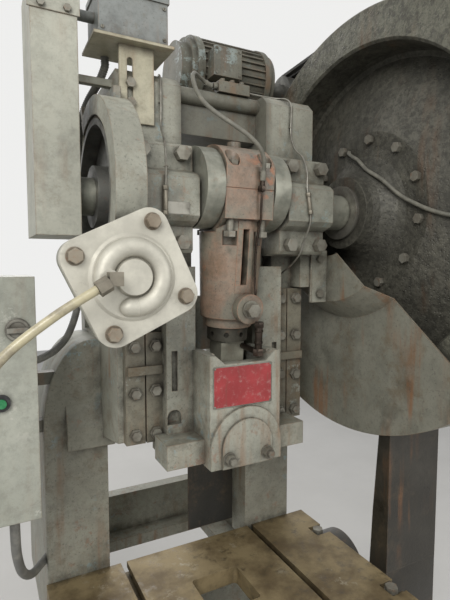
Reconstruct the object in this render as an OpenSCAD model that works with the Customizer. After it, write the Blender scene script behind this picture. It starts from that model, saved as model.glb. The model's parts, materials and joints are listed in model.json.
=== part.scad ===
/* [Crank drive] */
// Height of the crank axis above the floor
axis_z = 1962; // [1900:1:2000]
// Full travel of the slide
stroke = 114.3; // [90:0.1:120]
// Crank angle in front of top dead centre
crank_angle = 48; // [30:1:60]
// Length of the connecting rod from pin to ball
rod_len = 560; // [545:1:575]
// Diameter of the main journals
journal_d = 127; // [110:1:140]
// Diameter of the crank pin
pin_d = 132; // [120:1:140]
// Diameter of the round crank cheeks
cheek_d = 232; // [210:1:240]
// Width of the connecting rod's big end
big_end_w = 156; // [140:1:160]
// Diameter of the connecting rod's barrel at its foot
barrel_d = 172; // [150:1:180]
// Diameter of the adjusting ball
ball_d = 76; // [60:1:80]

/* [Main bearings] */
// Half of the free width between the two bearing heads
head_in = 146; // [144:1:150]
// Width of a bearing cap
cap_w = 169; // [160:1:172]
// Height of a bearing cap
cap_h = 296; // [280:1:310]
// Thickness of the cap's bolted flange
cap_t = 80; // [79:1:90]
// Depth from the crank axis to the front of the cap
cap_depth = 130; // [115:1:140]
// Wall of the bronze bearing shells
shell_t = 12; // [8:1:14]

/* [Frame] */
// Half width over the bearing heads
head_out = 330; // [322:1:331]
// Height of the crown's top
crown_z = 2320; // [2290:1:2350]
// Half width over the uprights
upright_out = 445; // [430:1:460]
// Width of the right upright's front face
right_w = 205; // [190:1:230]
// Width of the left upright's front face
left_w = 136; // [120:1:160]
// Depth of an upright's front wall
upright_t = 110; // [80:1:130]
// Depth from the slide centre to the throat's back
throat_y = 290; // [270:1:310]
// Height of the bolster's top
bed_top = 720; // [690:1:740]
// Half width of the bed
bed_out = 520; // [500:1:520]
// Depth from the slide centre to the bed's front
bed_front = 330; // [300:1:350]
// Thickness of the bolster plate
bolster_t = 60; // [40:1:70]
// Height of the frame's foot above the floor
frame_foot = 430; // [410:1:450]

/* [Slide] */
// Height of the slide's foot at rest
slide_foot = 1195; // [1180:1:1200]
// Half width of the slide's front box
box_half = 118; // [112:1:122]
// Depth from the slide centre to the slide's front
slide_front = 130; // [125:1:135]
// Height of the front box
box_h = 295; // [285:1:300]
// Half width over the slide's front wings
wing_half = 202; // [196:1:204]
// Height of the slide's wings
wing_h = 580; // [560:1:583]
// Diameter of the tool shank hole
shank_d = 50.8; // [40:0.1:60]
// Height of the slide's inner posts
post_h = 640; // [600:1:650]
// Radius of the die clamp
clamp_r = 84; // [78:1:88]

/* [Gibs] */
// Height of the gib plates' lower end
gib_z = 1246; // [1240:1:1250]
// Thickness of the gib plates
gib_t = 30; // [24:1:34]
// Width of an inner gib plate
gib_in_w = 64; // [60:1:66]
// Width of an outer gib plate
gib_out_w = 58; // [54:1:60]

/* [Brake] */
// Radius of the brake drum
drum_r = 200; // [190:1:205]
// Outer radius of the brake housing
brake_r = 256; // [250:1:262]
// Width of the brake housing
brake_w = 73; // [66:1:76]
// Spacing of the actuator's cover bolts
actuator_pitch = 180; // [170:1:190]
// Lean of the actuator about its own axis
actuator_lean = 25; // [20:1:30]

/* [Flywheel] */
// Outer radius of the flywheel
wheel_r = 683; // [660:1:690]
// Inner radius of the rim
rim_r = 558; // [540:1:570]
// Width of the rim
rim_w = 200; // [180:1:210]
// Distance from the slide centre to the rim
rim_x = 500; // [496:1:505]
// Radius of the guard
guard_r = 770; // [760:1:775]
// Thickness of the guard's sheet
guard_t = 5; // [3:1:6]

/* [Motor] */
// Radius of the motor's frame
motor_r = 140; // [130:1:145]
// Length of the motor's frame
motor_len = 370; // [350:1:380]
// Radius of the motor pulley
pulley_r = 70; // [60:1:74]

/* [Cabinet] */
// Width of the control cabinet
cab_w = 400; // [380:1:460]
// Height of the control cabinet
cab_h = 606; // [560:1:620]
// Depth of the control cabinet
cab_d = 200; // [180:1:220]
// Distance from the slide centre to the cabinet
cab_x = 562; // [560:1:580]

/* [Stand] */
// Width of a leg
leg_w = 80; // [70:1:84]
// Length of a leg's foot
leg_foot = 1260; // [1200:1:1300]
// Height of the incline pivot
pivot_z = 560; // [550:1:570]

/* [Fits] */
// Radial running fit of journals and pins
run_fit = 0.08; // [0.03:0.01:0.1]
// Clearance between sliding faces
slide_gap = 0.3; // [0.2:0.1:0.5]

/* [Hidden] */
$fn = 64;

// Crank geometry
throw = stroke / 2;
pin_y = -throw * sin(crank_angle);
pin_z = axis_z + throw * cos(crank_angle);
rod_lean = asin(-pin_y / rod_len);
ball_z = pin_z - rod_len * cos(rod_lean);
journal_r = journal_d / 2;
pin_r = pin_d / 2;
cheek_r = cheek_d / 2;
cheek_in = big_end_w / 2 + 2.3;
collar_r = journal_r + 22;
shell_r = journal_r + run_fit + shell_t;
seat_r = shell_r + 0.1;
cap_out = head_in + cap_w;

// Heads and caps
cap_bolt_x = [head_in + 35, cap_out - 21];
cap_bolt_z = [cap_h / 2 - 28, -(cap_h / 2 - 28)];
pedestal_low = axis_z - cap_h / 2 - 4;
pedestal_back = 220;

// Slide ways
gib_face = gib_t + 30;
gib_front = gib_face - gib_t;
neck_half = wing_half - 15;
gib_in = neck_half + slide_gap;
tongue_half = neck_half + 20;
way_half = tongue_half + slide_gap;
tongue_front = gib_face + slide_gap;
tongue_back = tongue_front + 50;
ledge_front = tongue_back + slide_gap;
gib_out = gib_in + gib_in_w + 4;
gib_h = [334, 454];

// Uprights and bed
wall_t = 60;
bed_face = bed_top - bolster_t;
frame_back = 960;

// Slide travel below and above the rest pose
slide_drop = stroke * (180 - crank_angle) / 180;
slide_rise = stroke * crank_angle / 180;
socket_slack = stroke * 0.21;
ball_gap = 3;

// Brake and left shaft end
brake_in = -head_out - 3;
brake_out = brake_in - brake_w;
act_x = -389;
act_y = -330;
act_z = axis_z - 208;
shaft_left = -505;
left_r = 50;

// Flywheel and right shaft end
right_r = 60;
hub_x = rim_x - 40;
web_x = rim_x + 140;
web_t = 36;
land_x = rim_x + 58;
hub_end = rim_x + rim_w + 35;
hub_r = 124;
bearing_r = 92;
flywheel_bolt_r = 260;
land_half = 28;

// Motor line
motor_y = 510;
motor_z = crown_z + 230;
motor_x = 60;
belt_x = rim_x + 50;
belt_w = 100;
belt_t = 12;

// Cabinet
cab_y = -80;
cab_top = 1752;
cab_left = -cab_x - cab_w;
skin_t = 2;
door_t = 22;

// Incline pivot
pivot_y = 120;
pivot_r = 40;
leg_in = bed_out + 4;
lock_r = 200;
lock_angle = 197;
lock_bolt_r = 16;
tilt_max = 25;
slot_end = 5.5;

// Cylinder along X between two stations
module xcyl(r, a, b) {
    translate([a, 0, 0]) rotate([0, 90, 0]) cylinder(r = r, h = b - a);
}

// Cylinder along Y between two stations
module ycyl(r, a, b) {
    translate([0, b, 0]) rotate([90, 0, 0]) cylinder(r = r, h = b - a);
}

// Side profile, drawn as depth and height, given a width
module side_plate(points, a, b) {
    translate([a, 0, 0]) rotate([90, 0, 90]) linear_extrude(b - a) polygon(points);
}

// Box between two corners
module block(a, b) {
    translate(a) cube(b - a);
}

// Rectangle with round corners, centred
module round_rect(w, h, r) {
    square([w - 2 * r, h], center = true);
    square([w, h - 2 * r], center = true);
    for (x = [-1, 1], y = [-1, 1]) translate([x * (w / 2 - r), y * (h / 2 - r)]) circle(r);
}

// Hexagon bolt that points to the back, with its head's seat at the origin
module front_bolt(af, head, shank_r, shank_l) {
    rotate([90, 0, 0]) cylinder(d = af / cos(30), h = head, $fn = 6);
    if (shank_l > 0) ycyl(shank_r, -1, shank_l);
}

// Left and right copies
module both() {
    children();
    mirror([1, 0, 0]) children();
}

// Points of an arc about a centre in the side view
function arc(cy, cz, r, a, b, n) = [for (i = [0:n]) let (t = a + (b - a) * i / n) [cy + r * cos(t), cz + r * sin(t)]];

// Smooth points along a route
function spline(p, n) = concat([for (i = [0:len(p) - 2], s = [0:n - 1])
    let (a = p[max(i - 1, 0)], b = p[i], c = p[i + 1], d = p[min(i + 2, len(p) - 1)], t = s / n)
    0.5 * (2 * b + (c - a) * t + (2 * a - 5 * b + 4 * c - d) * t * t + (3 * b - a - 3 * c + d) * t * t * t)],
    [p[len(p) - 1]]);
function unit(v) = v / norm(v);
function tangent(p, i) = unit(p[min(i + 1, len(p) - 1)] - p[max(i - 1, 0)]);
function carried(p, i, side) = i == 0 ? unit(cross(tangent(p, 0), side))
    : let (before = carried(p, i - 1, side), t = tangent(p, i)) unit(before - (before * t) * t);

// Round tube along a smooth route, with its first ring square to the given side
module tube(route, r, sides, n, side) {
    p = spline(route, n);
    rings = [for (i = [0:len(p) - 1])
        let (u = carried(p, i, side), w = cross(tangent(p, i), u))
        for (k = [0:sides - 1]) p[i] + r * (cos(360 * k / sides) * u + sin(360 * k / sides) * w)];
    last = len(p) - 1;
    skin = [for (i = [0:last - 1], k = [0:sides - 1])
        let (a = i * sides + k, b = i * sides + (k + 1) % sides)
        [a, a + sides, b + sides, b]];
    polyhedron(rings, concat([[for (k = [0:sides - 1]) k]], skin,
        [[for (k = [sides - 1:-1:0]) last * sides + k]]), convexity = 8);
}

// Plate of a leg: foot, pivot boss and the ear that holds the lock slot
module leg_plate() {
    side_plate([[pivot_y - leg_foot / 2, 0], [pivot_y - leg_foot / 2, 60], [pivot_y - leg_foot / 2 + 130, 100],
        [pivot_y - 125, pivot_z - 40], [pivot_y + 125, pivot_z - 40],
        [pivot_y + leg_foot / 2 - 130, 100], [pivot_y + leg_foot / 2, 60], [pivot_y + leg_foot / 2, 0]],
        leg_in, leg_in + leg_w);
    translate([0, pivot_y, pivot_z]) {
        xcyl(130, leg_in, leg_in + leg_w);
        intersection() {
            xcyl(lock_r + 40, leg_in, leg_in + leg_w);
            side_plate([[0, 0], [-300, 130], [-300, -200], [-60, -200]], leg_in - 1, leg_in + leg_w + 1);
        }
    }
}

// One leg, drawn on the right side
module leg() {
    difference() {
        leg_plate();
        side_plate([[pivot_y - 330, 95], [pivot_y - 70, pivot_z - 190], [pivot_y + 70, pivot_z - 190],
            [pivot_y + 330, 95]], leg_in + 26, leg_in + leg_w + 1);
        side_plate([[pivot_y - 210, -1], [pivot_y - 180, 45], [pivot_y + 180, 45], [pivot_y + 210, -1]],
            leg_in - 1, leg_in + leg_w + 1);
        translate([0, pivot_y, pivot_z]) xcyl(pivot_r + run_fit, leg_in - 1, leg_in + leg_w + 1);
        translate([leg_in - 1, pivot_y, pivot_z]) rotate([0, 90, 0]) rotate([0, 0, lock_angle - tilt_max + 90 - slot_end])
            rotate_extrude(angle = tilt_max + 2 * slot_end)
                translate([lock_r - lock_bolt_r - 1.5, 0]) square([2 * lock_bolt_r + 3, leg_w + 2]);
        for (y = [-1, 1]) translate([leg_in + leg_w / 2, pivot_y + y * (leg_foot / 2 - 60), -1])
            cylinder(d = 27, h = 150);
        translate([0, pivot_y, 70]) xcyl(22.1, leg_in - 1, leg_in + leg_w + 1);
        translate([0, pivot_y - 420, 70]) xcyl(22.1, leg_in - 1, leg_in + leg_w + 1);
    }
}

module right_leg() {
    color("#4a4a40") leg();
}

module left_leg() {
    color("#4a4a40") mirror([1, 0, 0]) leg();
}

module leg_tie_rods() {
    color("#55534b") for (y = [pivot_y, pivot_y - 420]) translate([0, y, 70]) {
        xcyl(22, -leg_in - leg_w - 34, leg_in + leg_w + 34);
        both() for (x = [leg_in - 30, leg_in + leg_w]) translate([x, 0, 0]) rotate([0, 90, 0])
            cylinder(d = 70, h = 30, $fn = 6);
    }
}

module incline_pins() {
    color("#6a675d") both() translate([0, pivot_y, pivot_z]) {
        xcyl(pivot_r, bed_out - 50, leg_in + leg_w + 8);
        xcyl(pivot_r + 18, leg_in + leg_w + 1, leg_in + leg_w + 16);
    }
}

module incline_lock_bolts() {
    color("#6a675d") both() translate([0, pivot_y, pivot_z]) rotate([lock_angle, 0, 0])
        translate([0, lock_r, 0]) {
            xcyl(lock_bolt_r, bed_out - 40, leg_in + leg_w + 12);
            xcyl(lock_bolt_r + 16, leg_in + leg_w + 0.3, leg_in + leg_w + 7);
            translate([leg_in + leg_w + 7, 0, 0]) rotate([0, 90, 0]) cylinder(d = 52, h = 22, $fn = 6);
        }
}

// One bearing head with the wall behind it, drawn on the right side
module head_wall() {
    side_plate([[gib_face, gib_z], [gib_face, pedestal_low], [0, pedestal_low], [0, crown_z - 26],
        [26, crown_z], [560, crown_z], [640, crown_z - 90], [600, 1500], [560, 1240],
        [throat_y + 40, 1150], [throat_y - 40, 1205]], way_half, head_out);
    side_plate([[0, pedestal_low], [0, crown_z - 26], [26, crown_z], [pedestal_back, crown_z],
        [pedestal_back, pedestal_low + 40], [pedestal_back - 40, pedestal_low]], head_in, way_half + 1);
    side_plate([[ledge_front, gib_z], [ledge_front, pedestal_low - 2], [ledge_front + 60, pedestal_low - 2],
        [ledge_front + 60, gib_z]], gib_in, way_half + 1);
    block([head_out - 42, 4, pedestal_low - 106], [head_out, gib_face + 1, pedestal_low + 1]);
}

// One upright of a given width with its side wall, drawn on the right side
module upright(w) {
    side_plate(concat([[throat_y, bed_face], [throat_y, 1110]], arc(throat_y - 60, 1160, 78, -40, 20, 4),
        [[throat_y - 30, 1240], [throat_y + 60, 1470], [880, 1184], [frame_back, 720],
        [frame_back, frame_foot], [throat_y, frame_foot]]), upright_out - wall_t, upright_out);
    side_plate([[throat_y, bed_face], [throat_y, 1240], [throat_y + upright_t, 1240],
        [throat_y + upright_t, bed_face]], upright_out - w, upright_out);
    side_plate([[throat_y - 30, 1170], [throat_y - 30, 1240], [throat_y + 60, 1470], [600, 1350], [560, 1240],
        [throat_y + 60, 1170]], head_out - 40, upright_out);
}

// Bed box under the bolster
module bed() {
    difference() {
        block([-bed_out, -bed_front, frame_foot], [bed_out, throat_y + 10, bed_face]);
        block([-bed_out + wall_t, -bed_front + wall_t, frame_foot - 1],
            [bed_out - wall_t, throat_y - 50, bed_face - wall_t]);
        block([-160, -140, frame_foot], [160, 160, bed_face + 1]);
        translate([0, -bed_front - 1, frame_foot + 110]) rotate([-90, 0, 0])
            linear_extrude(wall_t + 2) round_rect(620, 90, 40);
    }
}

// Bearing seats, bolt holes and the bores of the frame
module frame_bores() {
    both() {
        translate([0, 0, axis_z]) xcyl(seat_r, head_in - 1, cap_out + 0.5);
        translate([0, 0, axis_z]) xcyl(right_r + 12, cap_out, head_out + 1);
        for (x = cap_bolt_x, z = cap_bolt_z) translate([x, 0, axis_z + z]) ycyl(12.1, -1, 95);
        for (b = gib_bolt_sites(1)) translate([b[0], 0, b[1]]) ycyl(10.1, gib_face - 1, gib_face + 44);
        for (y = bolster_bolt_y) translate([bolster_bolt_x, y, bed_face - 42]) cylinder(r = 12.1, h = 43);
        translate([0, pivot_y, pivot_z]) xcyl(pivot_r + 0.05, bed_out - 51, leg_in);
        translate([0, pivot_y, pivot_z]) rotate([lock_angle, 0, 0]) translate([0, lock_r, 0])
            xcyl(lock_bolt_r + 0.1, bed_out - 41, leg_in);
    }
}

module frame() {
    color("#8b8d82") difference() {
        union() {
            upright(right_w);
            mirror([1, 0, 0]) upright(left_w);
            both() {
                head_wall();
                translate([0, pivot_y, pivot_z]) xcyl(95, bed_out - 70, leg_in - slide_gap);
            }
            bed();
            block([-head_in - 1, 70, crown_z - 138], [head_in + 1, 560, crown_z - 14]);
            translate([0, 66, crown_z - 24]) xcyl(24, -head_in - 1, head_in + 1);
            block([-upright_out + 1, frame_back - wall_t, frame_foot], [upright_out - 1, frame_back, bed_face]);
            block([-upright_out + 1, throat_y - 40, frame_foot], [upright_out - 1, frame_back, frame_foot + 50]);
            block([head_out - 1, 30, crown_z - 74], [head_out + 22, 70, crown_z - 40]);
        }
        both() side_plate([[240, 1540], [240, crown_z - 60], [540, crown_z - 60], [560, crown_z - 110],
            [540, 1540]], head_out - 60, head_out + 1);
        both() side_plate([[throat_y + 140, 500], [throat_y + 140, 1010], [throat_y + 300, 1100],
            [780, 960], [820, 500]], upright_out - 20, upright_out + 1);
        block([-280, 430, frame_foot - 1], [280, 820, frame_foot + 60]);
        frame_bores();
    }
}

bolster_bolt_x = bed_out - 36;
bolster_bolt_y = [130, -250];

module bolster_plate() {
    color("#5d5040") difference() {
        block([-bed_out, -bed_front, bed_face], [bed_out, throat_y - 1, bed_top]);
        translate([0, 0, bed_face - 1]) linear_extrude(bolster_t + 2) round_rect(170, 170, 12);
        for (x = [-260, 260]) {
            block([x - 11, -bed_front - 1, bed_top - 40], [x + 11, throat_y, bed_top + 1]);
            block([x - 20, -bed_front - 1, bed_top - 40], [x + 20, throat_y, bed_top - 22]);
        }
        both() for (y = bolster_bolt_y) {
            block([bolster_bolt_x - 14, y - 14, bed_face - 1], [bed_out + 1, y + 14, bed_top + 1]);
            block([bolster_bolt_x - 24, y - 30, bed_top - 12], [bed_out + 1, y + 30, bed_top + 1]);
        }
    }
}

slot_bolt_z = [52, 104];

module frame_bolts() {
    color("#6b6456") {
        both() for (y = bolster_bolt_y) translate([bolster_bolt_x, y, bed_top - 12]) {
            cylinder(r = 22, h = 5);
            translate([0, 0, 5]) cylinder(d = 42, h = 15, $fn = 6);
            translate([0, 0, -bolster_t - 28]) cylinder(r = 12, h = bolster_t + 30);
        }
        for (z = slot_bolt_z) translate([slot_x, -bracket_t, slot_foot + z]) front_bolt(24, 12, 8, bracket_t - 0.1);
        for (z = [60, -60]) translate([guard_bolt_x, 0, guard_bolt_z + z]) front_bolt(24, 12, 8, 24);
        for (x = [-30, 30], z = [-18, 18]) translate([chain_x + x, chain_y - sheet_t, chain_top - 60 + z])
            front_bolt(16, 8, 5, 0);
    }
}

// One main bearing cap, drawn on the right side
module bearing_cap() {
    difference() {
        union() {
            block([head_in, -cap_t, axis_z - cap_h / 2], [cap_out, -0.1, axis_z + cap_h / 2]);
            side_plate([[-1, -80], [-cap_t, -76], [-cap_depth + 16, -64], [-cap_depth, -50],
                [-cap_depth, 50], [-cap_depth + 16, 64], [-cap_t, 76], [-1, 80]] + [for (i = [0:7]) [0, axis_z]],
                head_in, cap_out);
        }
        translate([0, 0, axis_z]) xcyl(seat_r, head_in - 1, cap_out + 1);
        for (x = cap_bolt_x, z = cap_bolt_z) translate([x, 0, axis_z + z]) ycyl(12.1, -cap_t - 1, 1);
        for (s = [-1, 1]) translate([0, -cap_t, axis_z + s * cap_h / 2]) rotate([45, 0, 0])
            cube([2 * cap_out + 2, 12, 12], center = true);
    }
}

module left_bearing_cap() {
    color("#8f9186") mirror([1, 0, 0]) bearing_cap();
}

module right_bearing_cap() {
    color("#8a8c80") bearing_cap();
}

module cap_bolts() {
    color("#7d7a6d") both() for (x = cap_bolt_x, z = cap_bolt_z) translate([x, -cap_t, axis_z + z])
        front_bolt(37, 24, 12, cap_t + 90);
}

module main_bearings() {
    color("#9a7b45") both() translate([0, 0, axis_z]) difference() {
        xcyl(shell_r, head_in + 0.4, cap_out - 0.3);
        xcyl(journal_r + run_fit, head_in - 1, cap_out + 1);
    }
}

module crankshaft() {
    color("#7b7d74") {
        both() {
            translate([0, pin_y, pin_z]) xcyl(cheek_r, cheek_in, head_in - 11);
            translate([0, 0, axis_z]) xcyl(collar_r, head_in - 12, head_in - 0.5);
            translate([0, 0, axis_z]) xcyl(journal_r, head_in - 1, cap_out);
        }
        translate([0, pin_y, pin_z]) xcyl(pin_r, -cheek_in - 1, cheek_in + 1);
        translate([0, 0, axis_z]) {
            xcyl(left_r, shaft_left, -cap_out + 1);
            xcyl(right_r, cap_out - 1, hub_end + 20);
            xcyl(right_r + 24, hub_end + 6, hub_end + 20);
            xcyl(66, shaft_left + 20, shaft_left + 34);
        }
    }
}

module brake_drum() {
    color("#77787a") translate([0, 0, axis_z]) difference() {
        union() {
            difference() {
                xcyl(drum_r, brake_out + 3, brake_in - 14);
                xcyl(drum_r - 16, brake_out + 2, brake_in - 28);
            }
            xcyl(left_r + 32, brake_out + 1, brake_in - 14);
        }
        xcyl(left_r + 0.05, brake_out - 1, brake_in + 1);
    }
}

lining_t = 8;
lining_r = drum_r + slide_gap;
housing_r = lining_r + lining_t;

// Sector in the side view between two angles, wide enough for the brake
module side_sector(a, b, r, x0, x1) {
    side_plate(concat([[0, 0]], [for (i = [0:6]) let (t = a + (b - a) * i / 6) [r * cos(t), r * sin(t)]]), x0, x1);
}

brake_from = 62;
brake_to = 292;

module brake_housing() {
    color("#8d8f85") {
        translate([0, 0, axis_z]) difference() {
            union() {
                intersection() {
                    xcyl(brake_r, brake_out, brake_in);
                    side_sector(brake_from, brake_to, 600, brake_out - 1, brake_in + 1);
                }
                rotate([brake_from, 0, 0]) block([brake_out + 2, housing_r + 4, -1], [brake_in - 2, brake_r + 44, 18]);
                rotate([brake_to, 0, 0]) block([brake_out + 2, housing_r + 4, -18], [brake_in - 2, brake_r + 34, 1]);
                block([brake_in - 20, -40, brake_r - 14], [brake_in, 40, brake_r + 32]);
                block([brake_out, act_back, -250], [brake_in, -150, -130]);
            }
            xcyl(housing_r, brake_out - 1, brake_in - 12);
            xcyl(left_r + 14, brake_out - 1, brake_in + 1);
            xcyl(drum_r - 30, brake_out - 1, brake_in + 1);
            side_sector(brake_to, brake_from + 360, 204, brake_out - 1, brake_in + 1);
            translate([0, 0, -axis_z]) on_actuator() ycyl(38.1, 50, 78.3);
        }
        translate([0, 0, axis_z]) {
            block([brake_in - 1, -30, brake_r + 4], [brake_in + 3, 30, brake_r + 30]);
            block([brake_in - 1, 10, -brake_r + 4], [brake_in + 3, 60, -brake_r + 40]);
        }
    }
}

module brake_lining() {
    color("#54493c") translate([0, 0, axis_z]) difference() {
        intersection() {
            xcyl(housing_r - 0.1, brake_out + 6, brake_in - 12.2);
            side_sector(brake_from + 6, brake_to - 6, 600, brake_out - 1, brake_in + 1);
        }
        xcyl(lining_r, brake_out - 1, brake_in + 1);
    }
}

act_back = act_y + 92;
cover_h = 30;

// Square actuator outline with round bolt corners, centred
module actuator_outline(w, r) {
    round_rect(w, w, r);
}

// Places a piece on the actuator's axis, with depth zero at the cover's seat
module on_actuator() {
    translate([act_x, act_y + cover_h, act_z]) rotate([0, -actuator_lean, 0]) children();
}

module corner_sites() {
    for (x = [-1, 1], z = [-1, 1]) translate([x * actuator_pitch / 2, 0, z * actuator_pitch / 2]) children();
}

module actuator_housing() {
    color("#85877e") on_actuator() difference() {
        union() {
            translate([0, 34, 0]) rotate([90, 0, 0]) linear_extrude(32) actuator_outline(actuator_pitch + 62, 40);
            ycyl(96, 33, 62);
            ycyl(38, 61, 78);
        }
        ycyl(84, -1, 50);
        ycyl(13, 49, 90);
        corner_sites() ycyl(7.1, -1, 40);
    }
}

module actuator_diaphragm() {
    color("#2f2d2a") on_actuator() difference() {
        translate([0, 1.9, 0]) rotate([90, 0, 0]) linear_extrude(3) actuator_outline(actuator_pitch + 60, 40);
        corner_sites() ycyl(7.1, -5, 5);
    }
}

module actuator_cover() {
    color("#b9b6a8") on_actuator() difference() {
        union() {
            translate([0, -1.2, 0]) rotate([90, 0, 0]) linear_extrude(20) actuator_outline(actuator_pitch + 66, 44);
            translate([0, -20, 0]) rotate([90, 0, 0]) cylinder(r1 = 96, r2 = 88, h = 6);
            translate([0, -24, 0]) rotate([90, 0, 0]) rotate([0, 0, 251]) rotate_extrude(angle = 274)
                translate([64, 0]) circle(21);
            translate([0, -22, 0]) rotate([90, 0, 0]) cylinder(r1 = 44, r2 = 38, h = 14);
            rotate([0, 22, 0]) translate([-56, -22, 0]) rotate([90, 0, 0]) cylinder(r = 20, h = 23.4);
        }
        ycyl(80, -14, 0);
        corner_sites() ycyl(7.1, -40, 1);
    }
}

module actuator_bolts() {
    color("#8a6a4c") on_actuator() corner_sites() translate([0, -21.2, 0]) front_bolt(40, 17, 7, 52);
}

elbow = [act_x - 52, act_y - 15.4, act_z - 2];
cab_fitting = [-740, 20, cab_top - cab_h];

module air_fittings() {
    color("#8d8a7c") {
        translate(elbow) {
            ycyl(12, -16, 0);
            translate([0, -28, 0]) cube([28, 26, 28], center = true);
            rotate([0, 59, 0]) translate([0, -28, -40]) cylinder(d = 34, h = 27, $fn = 6);
        }
        translate(cab_fitting) {
            translate([0, 0, -26]) cylinder(r = 12, h = 26);
            translate([0, 0, -16]) cylinder(d = 34, h = 15.9, $fn = 6);
        }
    }
}

hose_r = 9.5;
air_route = [[-476, -372, 1732], [-560, -372, 1681], [-650, -378, 1611], [-700, -415, 1540], [-735, -440, 1440],
    [-748, -450, 1300], [-750, -445, 1190], [-748, -390, 1100], [-744, -260, 1046], [-741, -120, 1026],
    [-740, -20, 1038], [-740, 14, 1058], [-740, 20, 1086], [-740, 20, 1104], [-740, 20, 1119.8]];

module air_hose() {
    color("#cfc7a4") tube(air_route, hose_r, 10, 5, [0, 1, 0]);
}

// Dished outline from the hub's fillet over the bolt land to the rim, as radius and station along the shaft
function web_side(x) = concat([for (i = [0:6]) let (t = 15 * i)
        [flywheel_bolt_r - land_half - (flywheel_bolt_r - land_half - hub_r) * cos(t), hub_x + (land_x - hub_x) * sin(t)]],
    [[flywheel_bolt_r + land_half, land_x], [rim_r - 22, x], [rim_r - 6, x - 8], [rim_r, x - 24]]);

module flywheel() {
    color("#4f4e48") difference() {
        translate([0, 0, axis_z]) rotate([0, 90, 0]) rotate_extrude() polygon(concat(
            [[bearing_r + 0.05, hub_x]], web_side(web_x),
            [[rim_r, rim_x + 8], [rim_r + 8, rim_x], [wheel_r - 6, rim_x], [wheel_r, rim_x + 6],
            [wheel_r, rim_x + rim_w - 6], [wheel_r - 6, rim_x + rim_w], [rim_r + 8, rim_x + rim_w],
            [rim_r, rim_x + rim_w - 8], [rim_r - 20, web_x + web_t], [flywheel_bolt_r + land_half, land_x + web_t],
            [flywheel_bolt_r - land_half - 20, land_x + web_t], [hub_r + 30, land_x + web_t + 12],
            [hub_r + 10, land_x + web_t + 40], [hub_r + 10, hub_end], [bearing_r + 0.05, hub_end]]));
        flywheel_bolt_sites() xcyl(10.1, land_x - 1, land_x + web_t + 1);
    }
}

module flywheel_bolt_sites() {
    for (i = [0:11]) translate([0, 0, axis_z]) rotate([8 + 30 * i, 0, 0]) translate([0, 0, flywheel_bolt_r]) children();
}

module flywheel_bolts() {
    color("#6b675c") flywheel_bolt_sites() {
        xcyl(10, land_x - 1, land_x + web_t + 22);
        translate([land_x - 16, 0, 0]) rotate([0, 90, 0]) cylinder(d = 34, h = 16, $fn = 6);
        translate([land_x + web_t, 0, 0]) rotate([0, 90, 0]) cylinder(d = 34, h = 16, $fn = 6);
    }
}

module flywheel_bearing() {
    color("#86867e") translate([0, 0, axis_z]) difference() {
        xcyl(bearing_r, hub_x - 14, hub_end - 4);
        xcyl(right_r + run_fit, hub_x - 20, hub_end + 1);
    }
}

line_r = 6.5;
wheel_line = [[557, 66, 2196], [550.6, 66, 2196], [544, 58, 2189], [538, 32, 2172], [534, -1, 2153], [520, -60, 2108],
    [516, -134, 2063], [532, -190, 2010], [543, -243, 1976], [553, -305, 1946], [572, -370, 1925], [598, -450, 1914],
    [609, -498, 1911], [608, -535, 1909], [606, -546, 1907.5], [606, -554, 1907]];

module flywheel_air_line() {
    color("#77766a") tube(wheel_line, line_r, 8, 4, [1, 0, 0]);
}

guard_hub_x = 400;
guard_cone_r = 370;
guard_hub_r = 150;
cut_angle = 39;
cut_drop = 80;

module guard_sheet() {
    color("#85877f") difference() {
        union() {
            guard_skin();
            block([guard_hub_x - 50, 8.1, guard_bolt_z - 84], [guard_hub_x + 1, 14, guard_bolt_z + 84]);
        }
        for (z = [60, -60]) translate([guard_bolt_x, 0, guard_bolt_z + z]) ycyl(8.1, 7, 15);
        translate([0, 0, axis_z]) rotate([cut_angle, 0, 0])
            block([guard_hub_x - 60, -900, -cut_drop], [rim_x + rim_w + 50, 900, 900]);
    }
}

// Whole round guard before its upper front is cut away
module guard_skin() {
    translate([0, 0, axis_z]) rotate([0, 90, 0]) rotate_extrude() polygon([
            [guard_hub_r, guard_hub_x], [guard_cone_r - 60, guard_hub_x], [guard_cone_r, rim_x - 20],
            [guard_r, rim_x - 20], [guard_r, rim_x + rim_w - 40], [guard_r - guard_t, rim_x + rim_w - 40],
            [guard_r - guard_t, rim_x - 20 + guard_t], [guard_cone_r - 3, rim_x - 20 + guard_t],
            [guard_cone_r - 63, guard_hub_x + guard_t], [guard_hub_r, guard_hub_x + guard_t]]);
}

stand_x = [552, 800];
stand_y = [-165, -88];
stand_z = [690, axis_z - guard_r + 1];

module guard_stand() {
    color("#45423a") {
        difference() {
            union() {
                block([stand_x[0], stand_y[0], stand_z[0]], [stand_x[1], stand_y[0] + guard_t, stand_z[1] + 40]);
                side_plate([[stand_y[0], stand_z[0]], [stand_y[0], stand_z[1] + 40], [stand_y[1] - 30, stand_z[1] + 40],
                    [stand_y[1] - 6, 900], [stand_y[1] + 4, stand_z[0]]], stand_x[0], stand_x[0] + guard_t);
                block([bed_out, stand_y[0], stand_z[0]], [stand_x[0] + 1, stand_y[1], stand_z[0] + guard_t]);
            }
            translate([0, 0, axis_z]) xcyl(guard_r + slide_gap, stand_x[0] - 1, stand_x[1] + 1, $fn = 360);
        }
    }
}

guard_bolt_x = 366;
guard_bolt_z = 1740;

module guard_bracket() {
    color("#8a8b80") {
        difference() {
            block([head_out, 0, guard_bolt_z - 90], [guard_hub_x, 8, guard_bolt_z + 90]);
            for (z = [60, -60]) translate([guard_bolt_x, 0, guard_bolt_z + z]) ycyl(8.1, -1, 9);
        }
    }
}

// Foot of the motor above the crown
motor_foot = motor_z - motor_r - 22;

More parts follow.
